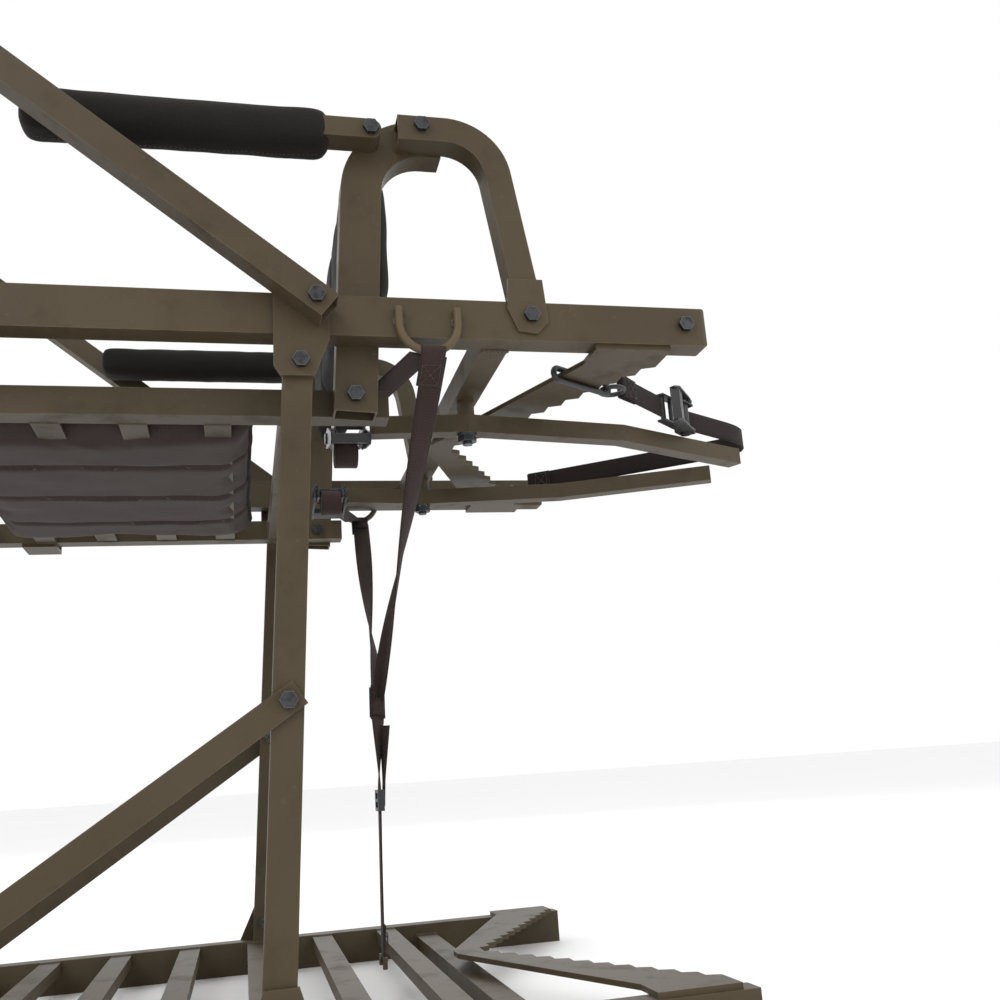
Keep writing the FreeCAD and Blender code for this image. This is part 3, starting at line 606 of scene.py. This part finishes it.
class STAND_OT_stage(bpy.types.Operator):
    """Make the floor, the lights and the camera"""
    bl_idname = "stand.stage"
    bl_label = "Stage"

    def execute(self, context):
        eye = bpy.data.cameras.new("camera")
        eye.sensor_width = 36.0
        eye.lens = CAMERA_LENS
        eye.clip_start = 0.02
        camera = linked("camera", eye)
        camera.matrix_world = Matrix.Translation(CAMERA_PLACE) @ look_along(*CAMERA_TURN)
        context.scene.camera = camera

        floor = bmesh.new()
        floor.faces.new([floor.verts.new((x * FLOOR_REACH, y * FLOOR_REACH, cad_low.z))
                         for x, y in ((-1, -1), (1, -1), (1, 1), (-1, 1))])
        data = data_from(floor, "floor")
        data.materials.append(finish_named("studio_floor"))
        ground = linked("floor", data)

        self.area_light("key_light", (-2.2, -2.8, 3.0), (0.1, 0, 0.6), 2.4, 62.0)
        self.area_light("fill_light", (2.8, -2.4, 1.6), (0.1, 0, 0.5), 2.6, 22.0)
        self.area_light("back_light", (0.6, 3.0, 2.6), (0.1, 0, 0.6), 2.4, 34.0)
        sky = bpy.data.worlds.new("studio")
        sky.use_nodes = True
        background = sky.node_tree.nodes["Background"]
        background.inputs["Color"].default_value = (1.0, 1.0, 1.0, 1.0)
        background.inputs["Strength"].default_value = 1.0
        context.scene.world = sky
        context.scene.view_settings.view_transform = "Standard"
        return {"FINISHED"}

    def area_light(self, name, place, target, size, power):
        """A square light at a place, turned to its target."""
        lamp = bpy.data.lights.new(name, "AREA")
        lamp.size = size
        lamp.energy = power
        holder = linked(name, lamp)
        holder.location = place
        holder.rotation_mode = "QUATERNION"
        holder.rotation_quaternion = (Vector(target) - Vector(place)).to_track_quat("-Z", "Y")


# ---- straps ----
JUNCTION = Vector((0.194, 0.0, 0.307))
PULL_ROUTE = [(0.218, -0.31645, 0.58175), (0.2150, -0.277, 0.5475), (0.2088, -0.196, 0.4772),
              (0.2026, -0.115, 0.4069), (0.1964, -0.034, 0.3368), (0.194, -0.002, 0.309)]
TAIL_ROUTE = [(0.194, 0.0, 0.307), (0.1936, 0.0, 0.281), (0.1924, 0.0, 0.205), (0.191, 0.0, 0.125),
              (0.1904, 0.0, 0.072), (0.190, 0.0, 0.0464)]
JAW_ROUTE = [(0.158, -0.164, 0.57495), (0.1685, -0.1957, 0.5772), (0.1965, -0.280, 0.58323),
             (0.207, -0.3117, 0.5855)]
REAR_ROUTE = [(0.4394, -0.1878, 0.60695), (0.4623, -0.1675, 0.60695), (0.4852, -0.1472, 0.60695),
              (0.5081, -0.1269, 0.60695)]
LOOP_ROUTE = [(0.5619, -0.0791, 0.60695), (0.600, -0.0575, 0.60695), (0.645, -0.032, 0.60695),
              (0.6628, -0.0145, 0.60695), (0.666, -0.004, 0.60695), (0.666, 0.004, 0.60695),
              (0.6628, 0.0145, 0.60695), (0.645, 0.032, 0.60695), (0.600, 0.0661, 0.60695),
              (0.520, 0.1268, 0.60695), (0.4394, 0.1878, 0.60695)]
ACROSS_X, ACROSS_Y, ACROSS_Z = (Vector(axis) for axis in ((1, 0, 0), (0, 1, 0), (0, 0, 1)))
WEBBING = "brown_webbing"
STRAP_STEP = 0.003
PULL_WIDTH = 0.022
TAIL_WIDTH = 0.018


def on_side(points, side):
    """Route of the left side, or its mirror on the right."""
    return [Vector((x, y * -side, z)) for x, y, z in points]


def gathered(fraction):
    """Width share along a pull strap: full at the loop, bunched towards the junction."""
    return 1.0 - 0.42 * fraction ** 2.2


class STAND_OT_straps(bpy.types.Operator):
    """Make every strap from its route"""
    bl_idname = "stand.straps"
    bl_label = "Straps"

    def execute(self, context):
        for name, side in SIDES.items():
            line = spaced(smooth_route(on_side(PULL_ROUTE, side)), STRAP_STEP)
            mesh = strap_mesh("pull_strap", line, ACROSS_X, width=PULL_WIDTH, pinch=gathered,
                              turns=lambda share, side=side: 0.5 * side * share ** 1.6)
            leg = new_piece(f"pull_webbing_{name}", mesh, WEBBING, "frame")
            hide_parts(f"pull_strap_{name}")
            run_length(line)

            line = spaced(smooth_route(on_side(JAW_ROUTE, side)), STRAP_STEP)
            mesh = strap_mesh("jaw_strap", line, ACROSS_X)
            strap = new_piece(f"jaw_webbing_{name}", mesh, WEBBING, None)
            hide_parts(f"jaw_strap_{name}")
            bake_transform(strap)
            run_length(line)

        line = spaced(smooth_route(on_side(TAIL_ROUTE, -1)), STRAP_STEP)
        mesh = strap_mesh("tail", line, ACROSS_Y, width=TAIL_WIDTH,
                          turns=lambda share: 0.2 * max(0.0, 1 - share / 0.36) ** 1.3)
        tail = new_piece("tail_webbing", mesh, WEBBING, "frame")
        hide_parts("pull_strap_tail")
        run_length(line)

        # The rear straps behind the tree take the webbing painted darker, as painted shade.
        line = spaced(smooth_route(on_side(LOOP_ROUTE, -1)), STRAP_STEP)
        mesh = strap_mesh("rear_loop", line, ACROSS_Z)
        loop = new_piece("rear_webbing_loop", mesh, "dark_webbing", "frame")
        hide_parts("rear_strap_loop")
        run_length(line)

        line = spaced(smooth_route(on_side(REAR_ROUTE, -1)), STRAP_STEP)
        short = new_piece("rear_webbing_short", strap_mesh("rear_short", line, ACROSS_Z), "dark_webbing",
                          "frame")
        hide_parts("rear_strap")
        return {"FINISHED"}


def arc(centre, first, second, radius, start, end, count):
    """Points on an arc in the plane of two unit vectors; angles in degrees."""
    points = []
    for k in range(count + 1):
        angle = math.radians(start + (end - start) * k / count)
        points.append(centre + first * (radius * math.cos(angle)) + second * (radius * math.sin(angle)))
    return points


def spiral(centre, first, second, inner, outer, turns, start, count=40):
    """Points on a flat spiral from its inner radius to its outer one."""
    points = []
    total = round(turns * count)
    for k in range(total + 1):
        angle = math.radians(start) + 2 * math.pi * turns * k / total
        radius = inner + (outer - inner) * k / total
        points.append(centre + first * (radius * math.cos(angle)) + second * (radius * math.sin(angle)))
    return points


def stitches(start, end, normal, gap=0.0012):
    """A row of stitches between two points, on the side of a strap that the normal points to."""
    run = end - start
    count = max(1, round(run.length / (sizes().stitch_length + gap)))
    step = run / count
    heading = run.normalized()
    rows = []
    for k in range(count):
        first = start + step * k
        last = first + heading * sizes().stitch_length
        rise = normal * 0.0004
        line = [first - rise, first + rise, (first + last) / 2 + rise * 1.4, last + rise, last - rise]
        rows.append(tube_mesh("stitch", line, 0.0003, 5))
    return rows


def box_stitching(centre, along, across, normal, half_length, half_width):
    """A sewn box with a cross in it."""
    corners = [centre + along * (a * half_length) + across * (b * half_width)
               for a, b in ((-1, -1), (1, -1), (1, 1), (-1, 1))]
    rows = []
    for k in range(4):
        rows += stitches(corners[k], corners[(k + 1) % 4], normal)
    rows += stitches(corners[0], corners[2], normal)
    rows += stitches(corners[1], corners[3], normal)
    return rows


class STAND_OT_strap_details(bpy.types.Operator):
    """Make the folds round the eye loops, the sewn junction, the hook folds and the rolled strap ends"""
    bl_idname = "stand.strap_details"
    bl_label = "Strap Details"

    def execute(self, context):
        for name, side in SIDES.items():
            self.loop_fold(name, side)
            self.hook_fold(name, side)
            self.rolled_end(name, side)
        self.junction()
        self.tail_knot()
        return {"FINISHED"}

    def loop_fold(self, name, side):
        """Webbing folded over the bottom of the eye loop and sewn to the pull strap."""
        route = on_side(PULL_ROUTE, side)
        rod = Vector((0.2165, route[0].y, 0.5865))
        out = Vector((0, side, 0))
        down_strap = (route[1] - route[0]).normalized()
        away = down_strap.cross(ACROSS_X).normalized()
        if away.dot(out) < 0:
            away = -away
        over = arc(rod, out, ACROSS_Z, 0.0050, -8, 205, 16)
        front = [over[0] + down_strap * (0.006 * k) + away * 0.0004 for k in range(6, 0, -1)]
        back = [over[-1] + down_strap * (0.004 * k) for k in range(1, 5)]
        line = spaced(smooth_route(front + over + back), 0.0025)
        mesh = strap_mesh("fold", line, ACROSS_X, width=0.0225)
        new_piece(f"loop_fold_{name}", mesh, WEBBING, "frame")
        middle = front[2] + away * (sizes().webbing_thickness / 2)
        rows = box_stitching(middle, down_strap, ACROSS_X, away, 0.010, 0.0085)
        new_piece(f"loop_stitches_{name}", joined("rows", rows), "thread", "frame")

    def hook_fold(self, name, side):
        """End of the rear strap folded round the ring of its hook."""
        end = on_side(REAR_ROUTE if side < 0 else LOOP_ROUTE[-1:] + LOOP_ROUTE[-2:-1], side)
        if side > 0:
            end = [Vector((x, abs(y), z)) for x, y, z in end]
        start = end[0]
        heading = (end[1] - end[0]).normalized()
        normal = heading.cross(ACROSS_Z)
        rounded = arc(start + heading * 0.001, -heading, normal, 0.0036, -100, 100, 14)
        near = [rounded[0] + heading * (0.006 * k) + normal * (0.0004 * k) for k in range(5, 0, -1)]
        far = [rounded[-1] + heading * (0.007 * k) - normal * (0.0003 * k) for k in range(1, 5)]
        line = spaced(smooth_route(near + rounded + far), 0.0025)
        mesh = strap_mesh("fold", line, ACROSS_Z)
        # The hook folds of the rear strap take the webbing painted darker, as painted shade.
        new_piece(f"hook_fold_{name}", mesh, "dark_webbing", "frame")
        rows = []
        for share in (1, -1):
            face = normal * share
            place = start + heading * 0.018 + face * (0.0036 + sizes().webbing_thickness * 0.5)
            rows += box_stitching(place, heading, ACROSS_Z, face, 0.008, 0.009)
        new_piece(f"hook_stitches_{name}", joined("rows", rows), "thread", "frame")

    def rolled_end(self, name, side):
        """Spare webbing rolled up beside the jaw ratchet, with its free end."""
        centre = Vector((0.158, 0.101 * side, 0.5580))
        coil = spiral(centre, Vector((0, -side, 0)), -ACROSS_Z, 0.0045, 0.0150, 5.5, 20)
        free = coil[-1] + Vector((0, 0, -0.003))
        lead = [free + Vector((0, -side * 0.006, -0.0005)) * k for k in range(1, 4)]
        line = spaced(coil + lead, 0.0022)
        mesh = strap_mesh("roll", line, ACROSS_X, width=0.024)
        new_piece(f"strap_roll_{name}", mesh, WEBBING, f"jaw_{name}")

    def junction(self):
        """The two pull straps and the tail sewn together."""
        down = -ACROSS_Z
        meshes = []
        for layer, (lean, drop) in enumerate(((-0.10, 0.0), (0.02, 0.004), (0.12, 0.002))):
            heading = (down + Vector((0, lean, 0))).normalized()
            top = JUNCTION + Vector((0, (layer - 1) * 0.0020, 0.017 - drop))
            line = [top + heading * (0.0025 * k) for k in range(14)]
            meshes.append(strap_mesh("layer", line, ACROSS_X, width=0.0150 + 0.001 * layer,
                                     turns=0.03 * (layer - 1)))
        new_piece("strap_junction", joined("junction", meshes), WEBBING, "frame")
        rows = []
        for share in (-1, 1):
            face = Vector((0, share, 0))
            place = JUNCTION + Vector((0, share * 0.0043, 0.0))
            rows += box_stitching(place, down, ACROSS_X, face, 0.010, 0.0055)
        new_piece("junction_stitches", joined("rows", rows), "thread", "frame")

    def tail_knot(self):
        """Tail folded back through the buckle, and tied round the staple at its foot."""
        top = Vector((0.1936, 0, 0.196))
        line = [top + Vector((0.0028, 0, 0)) + Vector((0.0002 * k, 0, 0.004 * k)) for k in range(22)]
        mesh = strap_mesh("back", line, ACROSS_Y, width=0.016,
                          turns=lambda share: 0.16 * max(0.0, share - 0.3) ** 1.2)
        new_piece("tail_fold", mesh, WEBBING, "frame")
        rod = Vector((0.190, 0, 0.0441))
        turn = arc(rod, ACROSS_X, ACROSS_Z, 0.0032, 100, 440, 24)
        lead = [turn[-1] + Vector((0.0003, 0, 0.005)) * k for k in range(1, 7)]
        line = spaced(turn + lead, 0.0015)
        mesh = strap_mesh("foot", line, ACROSS_Y, width=TAIL_WIDTH)
        new_piece("tail_foot_fold", mesh, WEBBING, "frame")
        rows = box_stitching(Vector((0.1945, 0, 0.062)), ACROSS_Z, ACROSS_Y, ACROSS_X, 0.007, 0.006)
        new_piece("tail_stitches", joined("rows", rows), "thread", "frame")


# ---- padding ----
def rounded_box(low, high, radius):
    """A box with rounded edges, as a temporary piece."""
    box = bmesh.new()
    bmesh.ops.create_cube(box, size=1.0)
    centre, span = (low + high) / 2, high - low
    for vertex in box.verts:
        vertex.co = Vector(centre[k] + vertex.co[k] * span[k] for k in range(3))
    bmesh.ops.bevel(box, geom=box.edges[:], offset=radius, segments=4, affect="EDGES", profile=0.5)
    return linked("padding", data_from(box, "padding"))


def applied(holder):
    """The piece's mesh with its modifiers applied."""
    bpy.context.view_layer.update()
    shown = holder.evaluated_get(bpy.context.evaluated_depsgraph_get())
    return bpy.data.meshes.new_from_object(shown)


def swollen(low, high, radius, cap, pressure=4.0):
    """Crowned cushion mesh: a rounded box filled by cloth pressure, no point moved more than cap."""
    holder = rounded_box(low, high, radius)
    remesh = holder.modifiers.new("voxels", "REMESH")
    remesh.mode = "VOXEL"
    remesh.voxel_size = sizes().pad_voxel
    even = applied(holder)
    holder.modifiers.clear()
    holder.data = even
    rest = [vertex.co.copy() for vertex in even.vertices]
    cloth = holder.modifiers.new("filling", "CLOTH")
    cloth.settings.use_pressure = True
    cloth.settings.uniform_pressure_force = pressure
    cloth.settings.effector_weights.gravity = 0.0
    cloth.settings.quality = 6
    scene = bpy.context.scene
    for frame_number in range(1, 21):
        scene.frame_set(frame_number)
    filled = applied(holder)
    holder.modifiers.clear()
    scene.frame_set(1)
    places = [vertex.co.copy() for vertex in filled.vertices]
    bpy.data.meshes.remove(filled)
    for vertex, start, end in zip(even.vertices, rest, places):
        move = end - start
        if move.length > cap:
            move *= cap / move.length
        vertex.co = start + move
    finer = holder.modifiers.new("finer", "SUBSURF")
    finer.levels = 1
    smooth = applied(holder)
    bpy.data.objects.remove(holder)
    bpy.data.meshes.remove(even)
    return smooth


def pressed(mesh, thin, channels, depth, width):
    """Press sewn channels into both faces: each channel is a distance function of a point."""
    low = min(vertex.co[thin] for vertex in mesh.vertices)
    high = max(vertex.co[thin] for vertex in mesh.vertices)
    centre = (low + high) / 2
    for vertex in mesh.vertices:
        reach = min(channel(vertex.co) for channel in channels)
        if reach > 3 * width:
            continue
        dip = depth * math.exp(-(reach / width) ** 2)
        height = vertex.co[thin] - centre
        vertex.co[thin] = centre + math.copysign(max(0.0, abs(height) - dip), height)


def outline_points(low, high, thin, inset, count=220):
    """Rounded rectangle round a cushion in the plane across its thin way, at its middle height."""
    wide = [k for k in range(3) if k != thin]
    centre = (low + high) / 2
    half = [(high[k] - low[k]) / 2 - inset for k in wide]
    power = 8.0
    points = []
    for k in range(count):
        angle = 2 * math.pi * k / count
        direction = Vector((math.cos(angle), math.sin(angle)))
        size = ((abs(direction.x) / half[0]) ** power + (abs(direction.y) / half[1]) ** power) ** (-1 / power)
        point = centre.copy()
        point[wide[0]] += direction.x * size
        point[wide[1]] += direction.y * size
        points.append(point)
    return points


def hugging(mesh, points, proud):
    """Move a seam line onto the surface of a cushion, standing a little proud of it."""
    faces = bmesh.new()
    faces.from_mesh(mesh)
    tree = BVHTree.FromBMesh(faces)
    moved = []
    for point in points:
        place, normal = tree.find_nearest(point)[:2]
        moved.append(place + normal * proud)
    faces.free()
    return moved


def dimpled(mesh, size, depth, seed):
    """Soft hollows and folds of a used cover."""
    normals = [vertex.normal.copy() for vertex in mesh.vertices]
    for vertex, normal in zip(mesh.vertices, normals):
        place = vertex.co * size + Vector((seed, seed * 0.7, seed * 1.3))
        vertex.co += normal * (depth * noise.noise(place))


class STAND_OT_seat(bpy.types.Operator):
    """Make the seat cushion with its channels, piping and stitches"""
    bl_idname = "stand.seat"
    bl_label = "Seat Cushion"

    def execute(self, context):
        low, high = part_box("seat_cushion")
        shrink = Vector((0.010, 0.010, 0.003))
        mesh = swollen(low + shrink, high - shrink, 0.009, 0.012)
        thirds = [low.y + (high.y - low.y) * share for share in (0.25, 0.5, 0.75)]
        channels = [lambda point, y=y: abs(point.y - y) for y in thirds]
        pressed(mesh, 2, channels, 0.0045, 0.006)
        dimpled(mesh, 22.0, 0.0016, 3.0)
        cushion = new_piece("seat_pad", mesh, "seat_fabric", "seat")
        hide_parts("seat_cushion")
        outline = outline_points(low, high, 2, 0.004)
        seam = hugging(mesh, outline, 0.0006)
        piping = tube_mesh("piping", seam, sizes().piping_radius, 8, closed=True)
        new_piece("seat_piping", piping, "pad_fabric", "seat")
        rows = []
        centre = (low + high) / 2
        for y in thirds:
            for face in (-1, 1):
                start = Vector((low.x + 0.03, y, centre.z + face * 0.05))
                line = [start + Vector(((high.x - low.x - 0.06) * k / 40, 0, 0)) for k in range(41)]
                line = hugging(mesh, line, 0.0002)
                for first, after in zip(line, line[1:]):
                    last = first.lerp(after, 0.68)
                    crest = (first + last) / 2 + Vector((0, 0, face * 0.0003))
                    rows.append(tube_mesh("stitch", [first, crest, last], 0.00035, 5))
        new_piece("seat_stitches", joined("rows", rows), "thread", "seat")
        return {"FINISHED"}


class STAND_OT_pads(bpy.types.Operator):
    """Make the back pad, the arm pads and the foam sleeve of the shooting rail"""
    bl_idname = "stand.pads"
    bl_label = "Pads"

    def execute(self, context):
        low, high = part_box("back_pad")
        shrink = Vector((0.004, 0.010, 0.010))
        mesh = swollen(low + shrink, high - shrink, 0.011, 0.010)
        thirds = [low.y + (high.y - low.y) * share for share in (1 / 3, 2 / 3)]
        pressed(mesh, 0, [lambda point, y=y: abs(point.y - y) for y in thirds], 0.004, 0.006)
        dimpled(mesh, 24.0, 0.0014, 7.0)
        back = new_piece("back_cushion", mesh, "pad_fabric", "frame")
        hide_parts("back_pad")
        seam = hugging(mesh, outline_points(low, high, 0, 0.004), 0.0006)
        new_piece("back_piping", tube_mesh("piping", seam, sizes().piping_radius, 8, closed=True),
                  "pad_fabric", "frame")
        for name in SIDES:
            self.arm_pad(name)
        self.sleeve()
        return {"FINISHED"}

    def arm_pad(self, name):
        """Pad of one arm rest, with a row of stitches underneath."""
        low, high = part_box(f"arm_pad_{name}")
        inset = [Vector((0.005, 0.004, 0.003)) for end in range(2)]
        inset[0 if name == "left" else 1].y = -0.0015
        mesh = swollen(low + inset[0], high - inset[1], 0.012, 0.004)
        dimpled(mesh, 40.0, 0.0008, 11.0)
        pad = new_piece(f"arm_cushion_{name}", mesh, "pad_fabric", f"arm_rest_body_{name}")
        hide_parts(f"arm_pad_{name}")
        centre = (low + high) / 2
        line = [Vector((low.x + 0.012 + (high.x - low.x - 0.024) * k / 120, centre.y, low.z - 0.02))
                for k in range(121)]
        seam = hugging(mesh, line, 0.0002)
        rows = [tube_mesh("stitch", [seam[k], seam[k].lerp(seam[k + 1], 0.7)], 0.0005, 5)
                for k in range(0, 120, 2)]
        new_piece(f"arm_stitches_{name}", joined("rows", rows), "thread", f"arm_rest_body_{name}")

    def sleeve(self):
        """Dented foam tube round the shooting rail."""
        low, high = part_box("shooting_pad")
        centre = (low + high) / 2
        radius = (high.z - low.z) / 2
        mesh = bmesh.new()
        rings, sides = 180, 36
        angles = [2 * math.pi * j / sides for j in range(sides)]
        grid = []
        for k in range(rings + 1):
            share = k / rings
            y = low.y + (high.y - low.y) * share
            edge = min(share, 1 - share) * (high.y - low.y)
            shoulder = 1 - 0.25 * max(0.0, 1 - edge / 0.006) ** 2
            row = []
            for angle in angles:
                place = Vector((math.cos(angle) * 4, y * 30, math.sin(angle) * 4))
                here = radius * shoulder + 0.0010 * noise.noise(place) - 0.0004
                row.append(mesh.verts.new((centre.x + here * math.cos(angle), y,
                                           centre.z + here * math.sin(angle))))
            grid.append(row)
        skinned(mesh, grid)
        bore = 0.0112
        for row, y in ((grid[0], low.y), (grid[-1], high.y)):
            inner = [mesh.verts.new((centre.x + bore * math.cos(angle), y, centre.z + bore * math.sin(angle)))
                     for angle in angles]
            skinned(mesh, [row, inner])
        data = data_from(mesh, "sleeve", outward=True)
        sleeve = new_piece("rail_sleeve", data, "foam_sleeve", "shooting_rail")
        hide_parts("shooting_pad")


# ---- welds ----
def islands(node):
    """Box of each separate solid of a CAD node."""
    mesh = bmesh.new()
    mesh.from_mesh(frame["nodes"][node].data)
    bmesh.ops.remove_doubles(mesh, verts=mesh.verts, dist=1e-6)
    left = set(mesh.verts)
    boxes = []
    while left:
        group = [left.pop()]
        queue = list(group)
        while queue:
            vertex = queue.pop()
            for edge in vertex.link_edges:
                other = edge.other_vert(vertex)
                if other in left:
                    left.discard(other)
                    group.append(other)
                    queue.append(other)
        boxes.append((Vector(min(v.co[k] for v in group) for k in range(3)),
                      Vector(max(v.co[k] for v in group) for k in range(3))))
    mesh.free()
    return sorted(boxes, key=lambda pair: tuple(pair[0]))


def bead(points, closed=False, size=None):
    """Weld bead with its ripples along a line."""
    size = size or sizes().weld_size
    line = spaced([Vector(point) for point in points], 0.0011)
    if closed:
        line = line[:-1]
    shaken = []
    for point in line:
        shift = Vector((noise.noise(point * 120), noise.noise(point * 120 + Vector((5, 0, 0))),
                        noise.noise(point * 120 + Vector((0, 5, 0)))))
        shaken.append(point + shift * 0.0004)
    return tube_mesh("bead", shaken, size, 8, closed=closed, ripple=0.16)


def end_beads(low, high, faces):
    """Beads round a tube that runs along Y, where it meets other tubes."""
    beads = []
    for y in faces:
        corners = [(low.x, y, low.z), (low.x, y, high.z), (high.x, y, high.z), (high.x, y, low.z)]
        if low.z < 2 * sizes().weld_size:
            corners = [(low.x, y, low.z + 0.003), *corners[1:3], (high.x, y, low.z + 0.003)]
        else:
            corners.append(corners[0])
        beads.append(bead(corners))
    return beads


class STAND_OT_welds(bpy.types.Operator):
    """Make the weld beads where tubes and plates meet"""
    bl_idname = "stand.welds"
    bl_label = "Weld Beads"

    def execute(self, context):
        beads = []
        for node in ("rear_cross_tube", "front_cross_tube", "platform_cross_tubes"):
            for low, high in islands(node):
                beads += end_beads(low, high, (low.y, high.y))
        for low, high in islands("platform_slats"):
            for y in (low.y, high.y):
                beads.append(bead([(low.x, y, high.z), (high.x, y, high.z)], size=0.0018))
        for low, high in islands("back_bars"):
            for y in (low.y, high.y):
                beads.append(bead([(low.x, y, low.z), (low.x, y, high.z)], size=0.0016))
        for low, high in islands("eye_loops"):
            face = low.y if abs(low.y) < abs(high.y) else high.y
            for x in (low.x + 0.004, high.x - 0.004):
                ring = arc(Vector((x, face, high.z - 0.012)), ACROSS_X, ACROSS_Z, 0.0042, 0, 360, 24)
                beads.append(bead(ring, size=0.0016))
        new_piece("frame_welds", joined("welds", beads), "weld_metal", "frame")
        beads = []
        for low, high in islands("seat_cross_tubes"):
            beads += end_beads(low, high, (low.y, high.y))
        for low, high in islands("seat_bars"):
            for y in (low.y, high.y):
                beads.append(bead([(low.x, y, low.z), (high.x, y, low.z)], size=0.0016))
        new_piece("seat_welds", joined("welds", beads), "weld_metal", "seat")
        low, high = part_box("shooting_crossbar")
        centre = (low + high) / 2
        beads = [bead(arc(Vector((centre.x, y, centre.z)), ACROSS_X, ACROSS_Z, (high.z - low.z) / 2, 0, 360,
                          40)) for y in (low.y, high.y)]
        new_piece("rail_welds", joined("welds", beads), "weld_metal", "shooting_rail")
        return {"FINISHED"}


# ---- finishes ----
class STAND_OT_finishes(bpy.types.Operator):
    """Give every tube, plate, bolt and plug its finish"""
    bl_idname = "stand.finishes"
    bl_label = "Finishes"

    def execute(self, context):
        slots = {row["node"]: row["material_slot"] for row in frame["record"]["subparts"]}
        for node, holder in frame["nodes"].items():
            if slots[node] not in FINISHES:
                raise RuntimeError(f"no finish for the slot {slots[node]} of {node}")
            finish = finish_named("light_coat" if node == "eye_loops" else slots[node])
            if not holder.material_slots:
                holder.data.materials.append(finish)
            for slot in holder.material_slots:
                slot.material = finish
        return {"FINISHED"}


STEPS = [STAND_OT_stage, STAND_OT_straps, STAND_OT_strap_details, STAND_OT_seat, STAND_OT_pads,
         STAND_OT_welds, STAND_OT_finishes]


class STAND_PT_panel(bpy.types.Panel):
    """Sizes, colours and steps of the tree stand"""
    bl_label = "Tree Stand"
    bl_idname = "STAND_PT_panel"
    bl_space_type = "VIEW_3D"
    bl_region_type = "UI"
    bl_category = "Tree Stand"

    def draw(self, context):
        for group in (context.scene.stand_sizes, context.scene.stand_colours):
            box = self.layout.box()
            for name in group.__annotations__:
                box.prop(group, name)
        for step in STEPS:
            self.layout.operator(step.bl_idname)


CLASSES = [StandSizes, StandColours, *STEPS, STAND_PT_panel]


def register():
    """Add the classes and their settings."""
    for cls in CLASSES:
        bpy.utils.register_class(cls)
    bpy.types.Scene.stand_sizes = bpy.props.PointerProperty(type=StandSizes)
    bpy.types.Scene.stand_colours = bpy.props.PointerProperty(type=StandColours)


def unregister():
    """Take the settings and the classes away."""
    del bpy.types.Scene.stand_colours
    del bpy.types.Scene.stand_sizes
    for cls in reversed(CLASSES):
        bpy.utils.unregister_class(cls)


def main():
    """Build everything in order."""
    register()
    for step in STEPS:
        group, name = step.bl_idname.split(".")
        result = getattr(getattr(bpy.ops, group), name)()
        if "FINISHED" not in result:
            raise RuntimeError(f"{step.bl_label} did not finish")


if __name__ == "__main__":
    main()
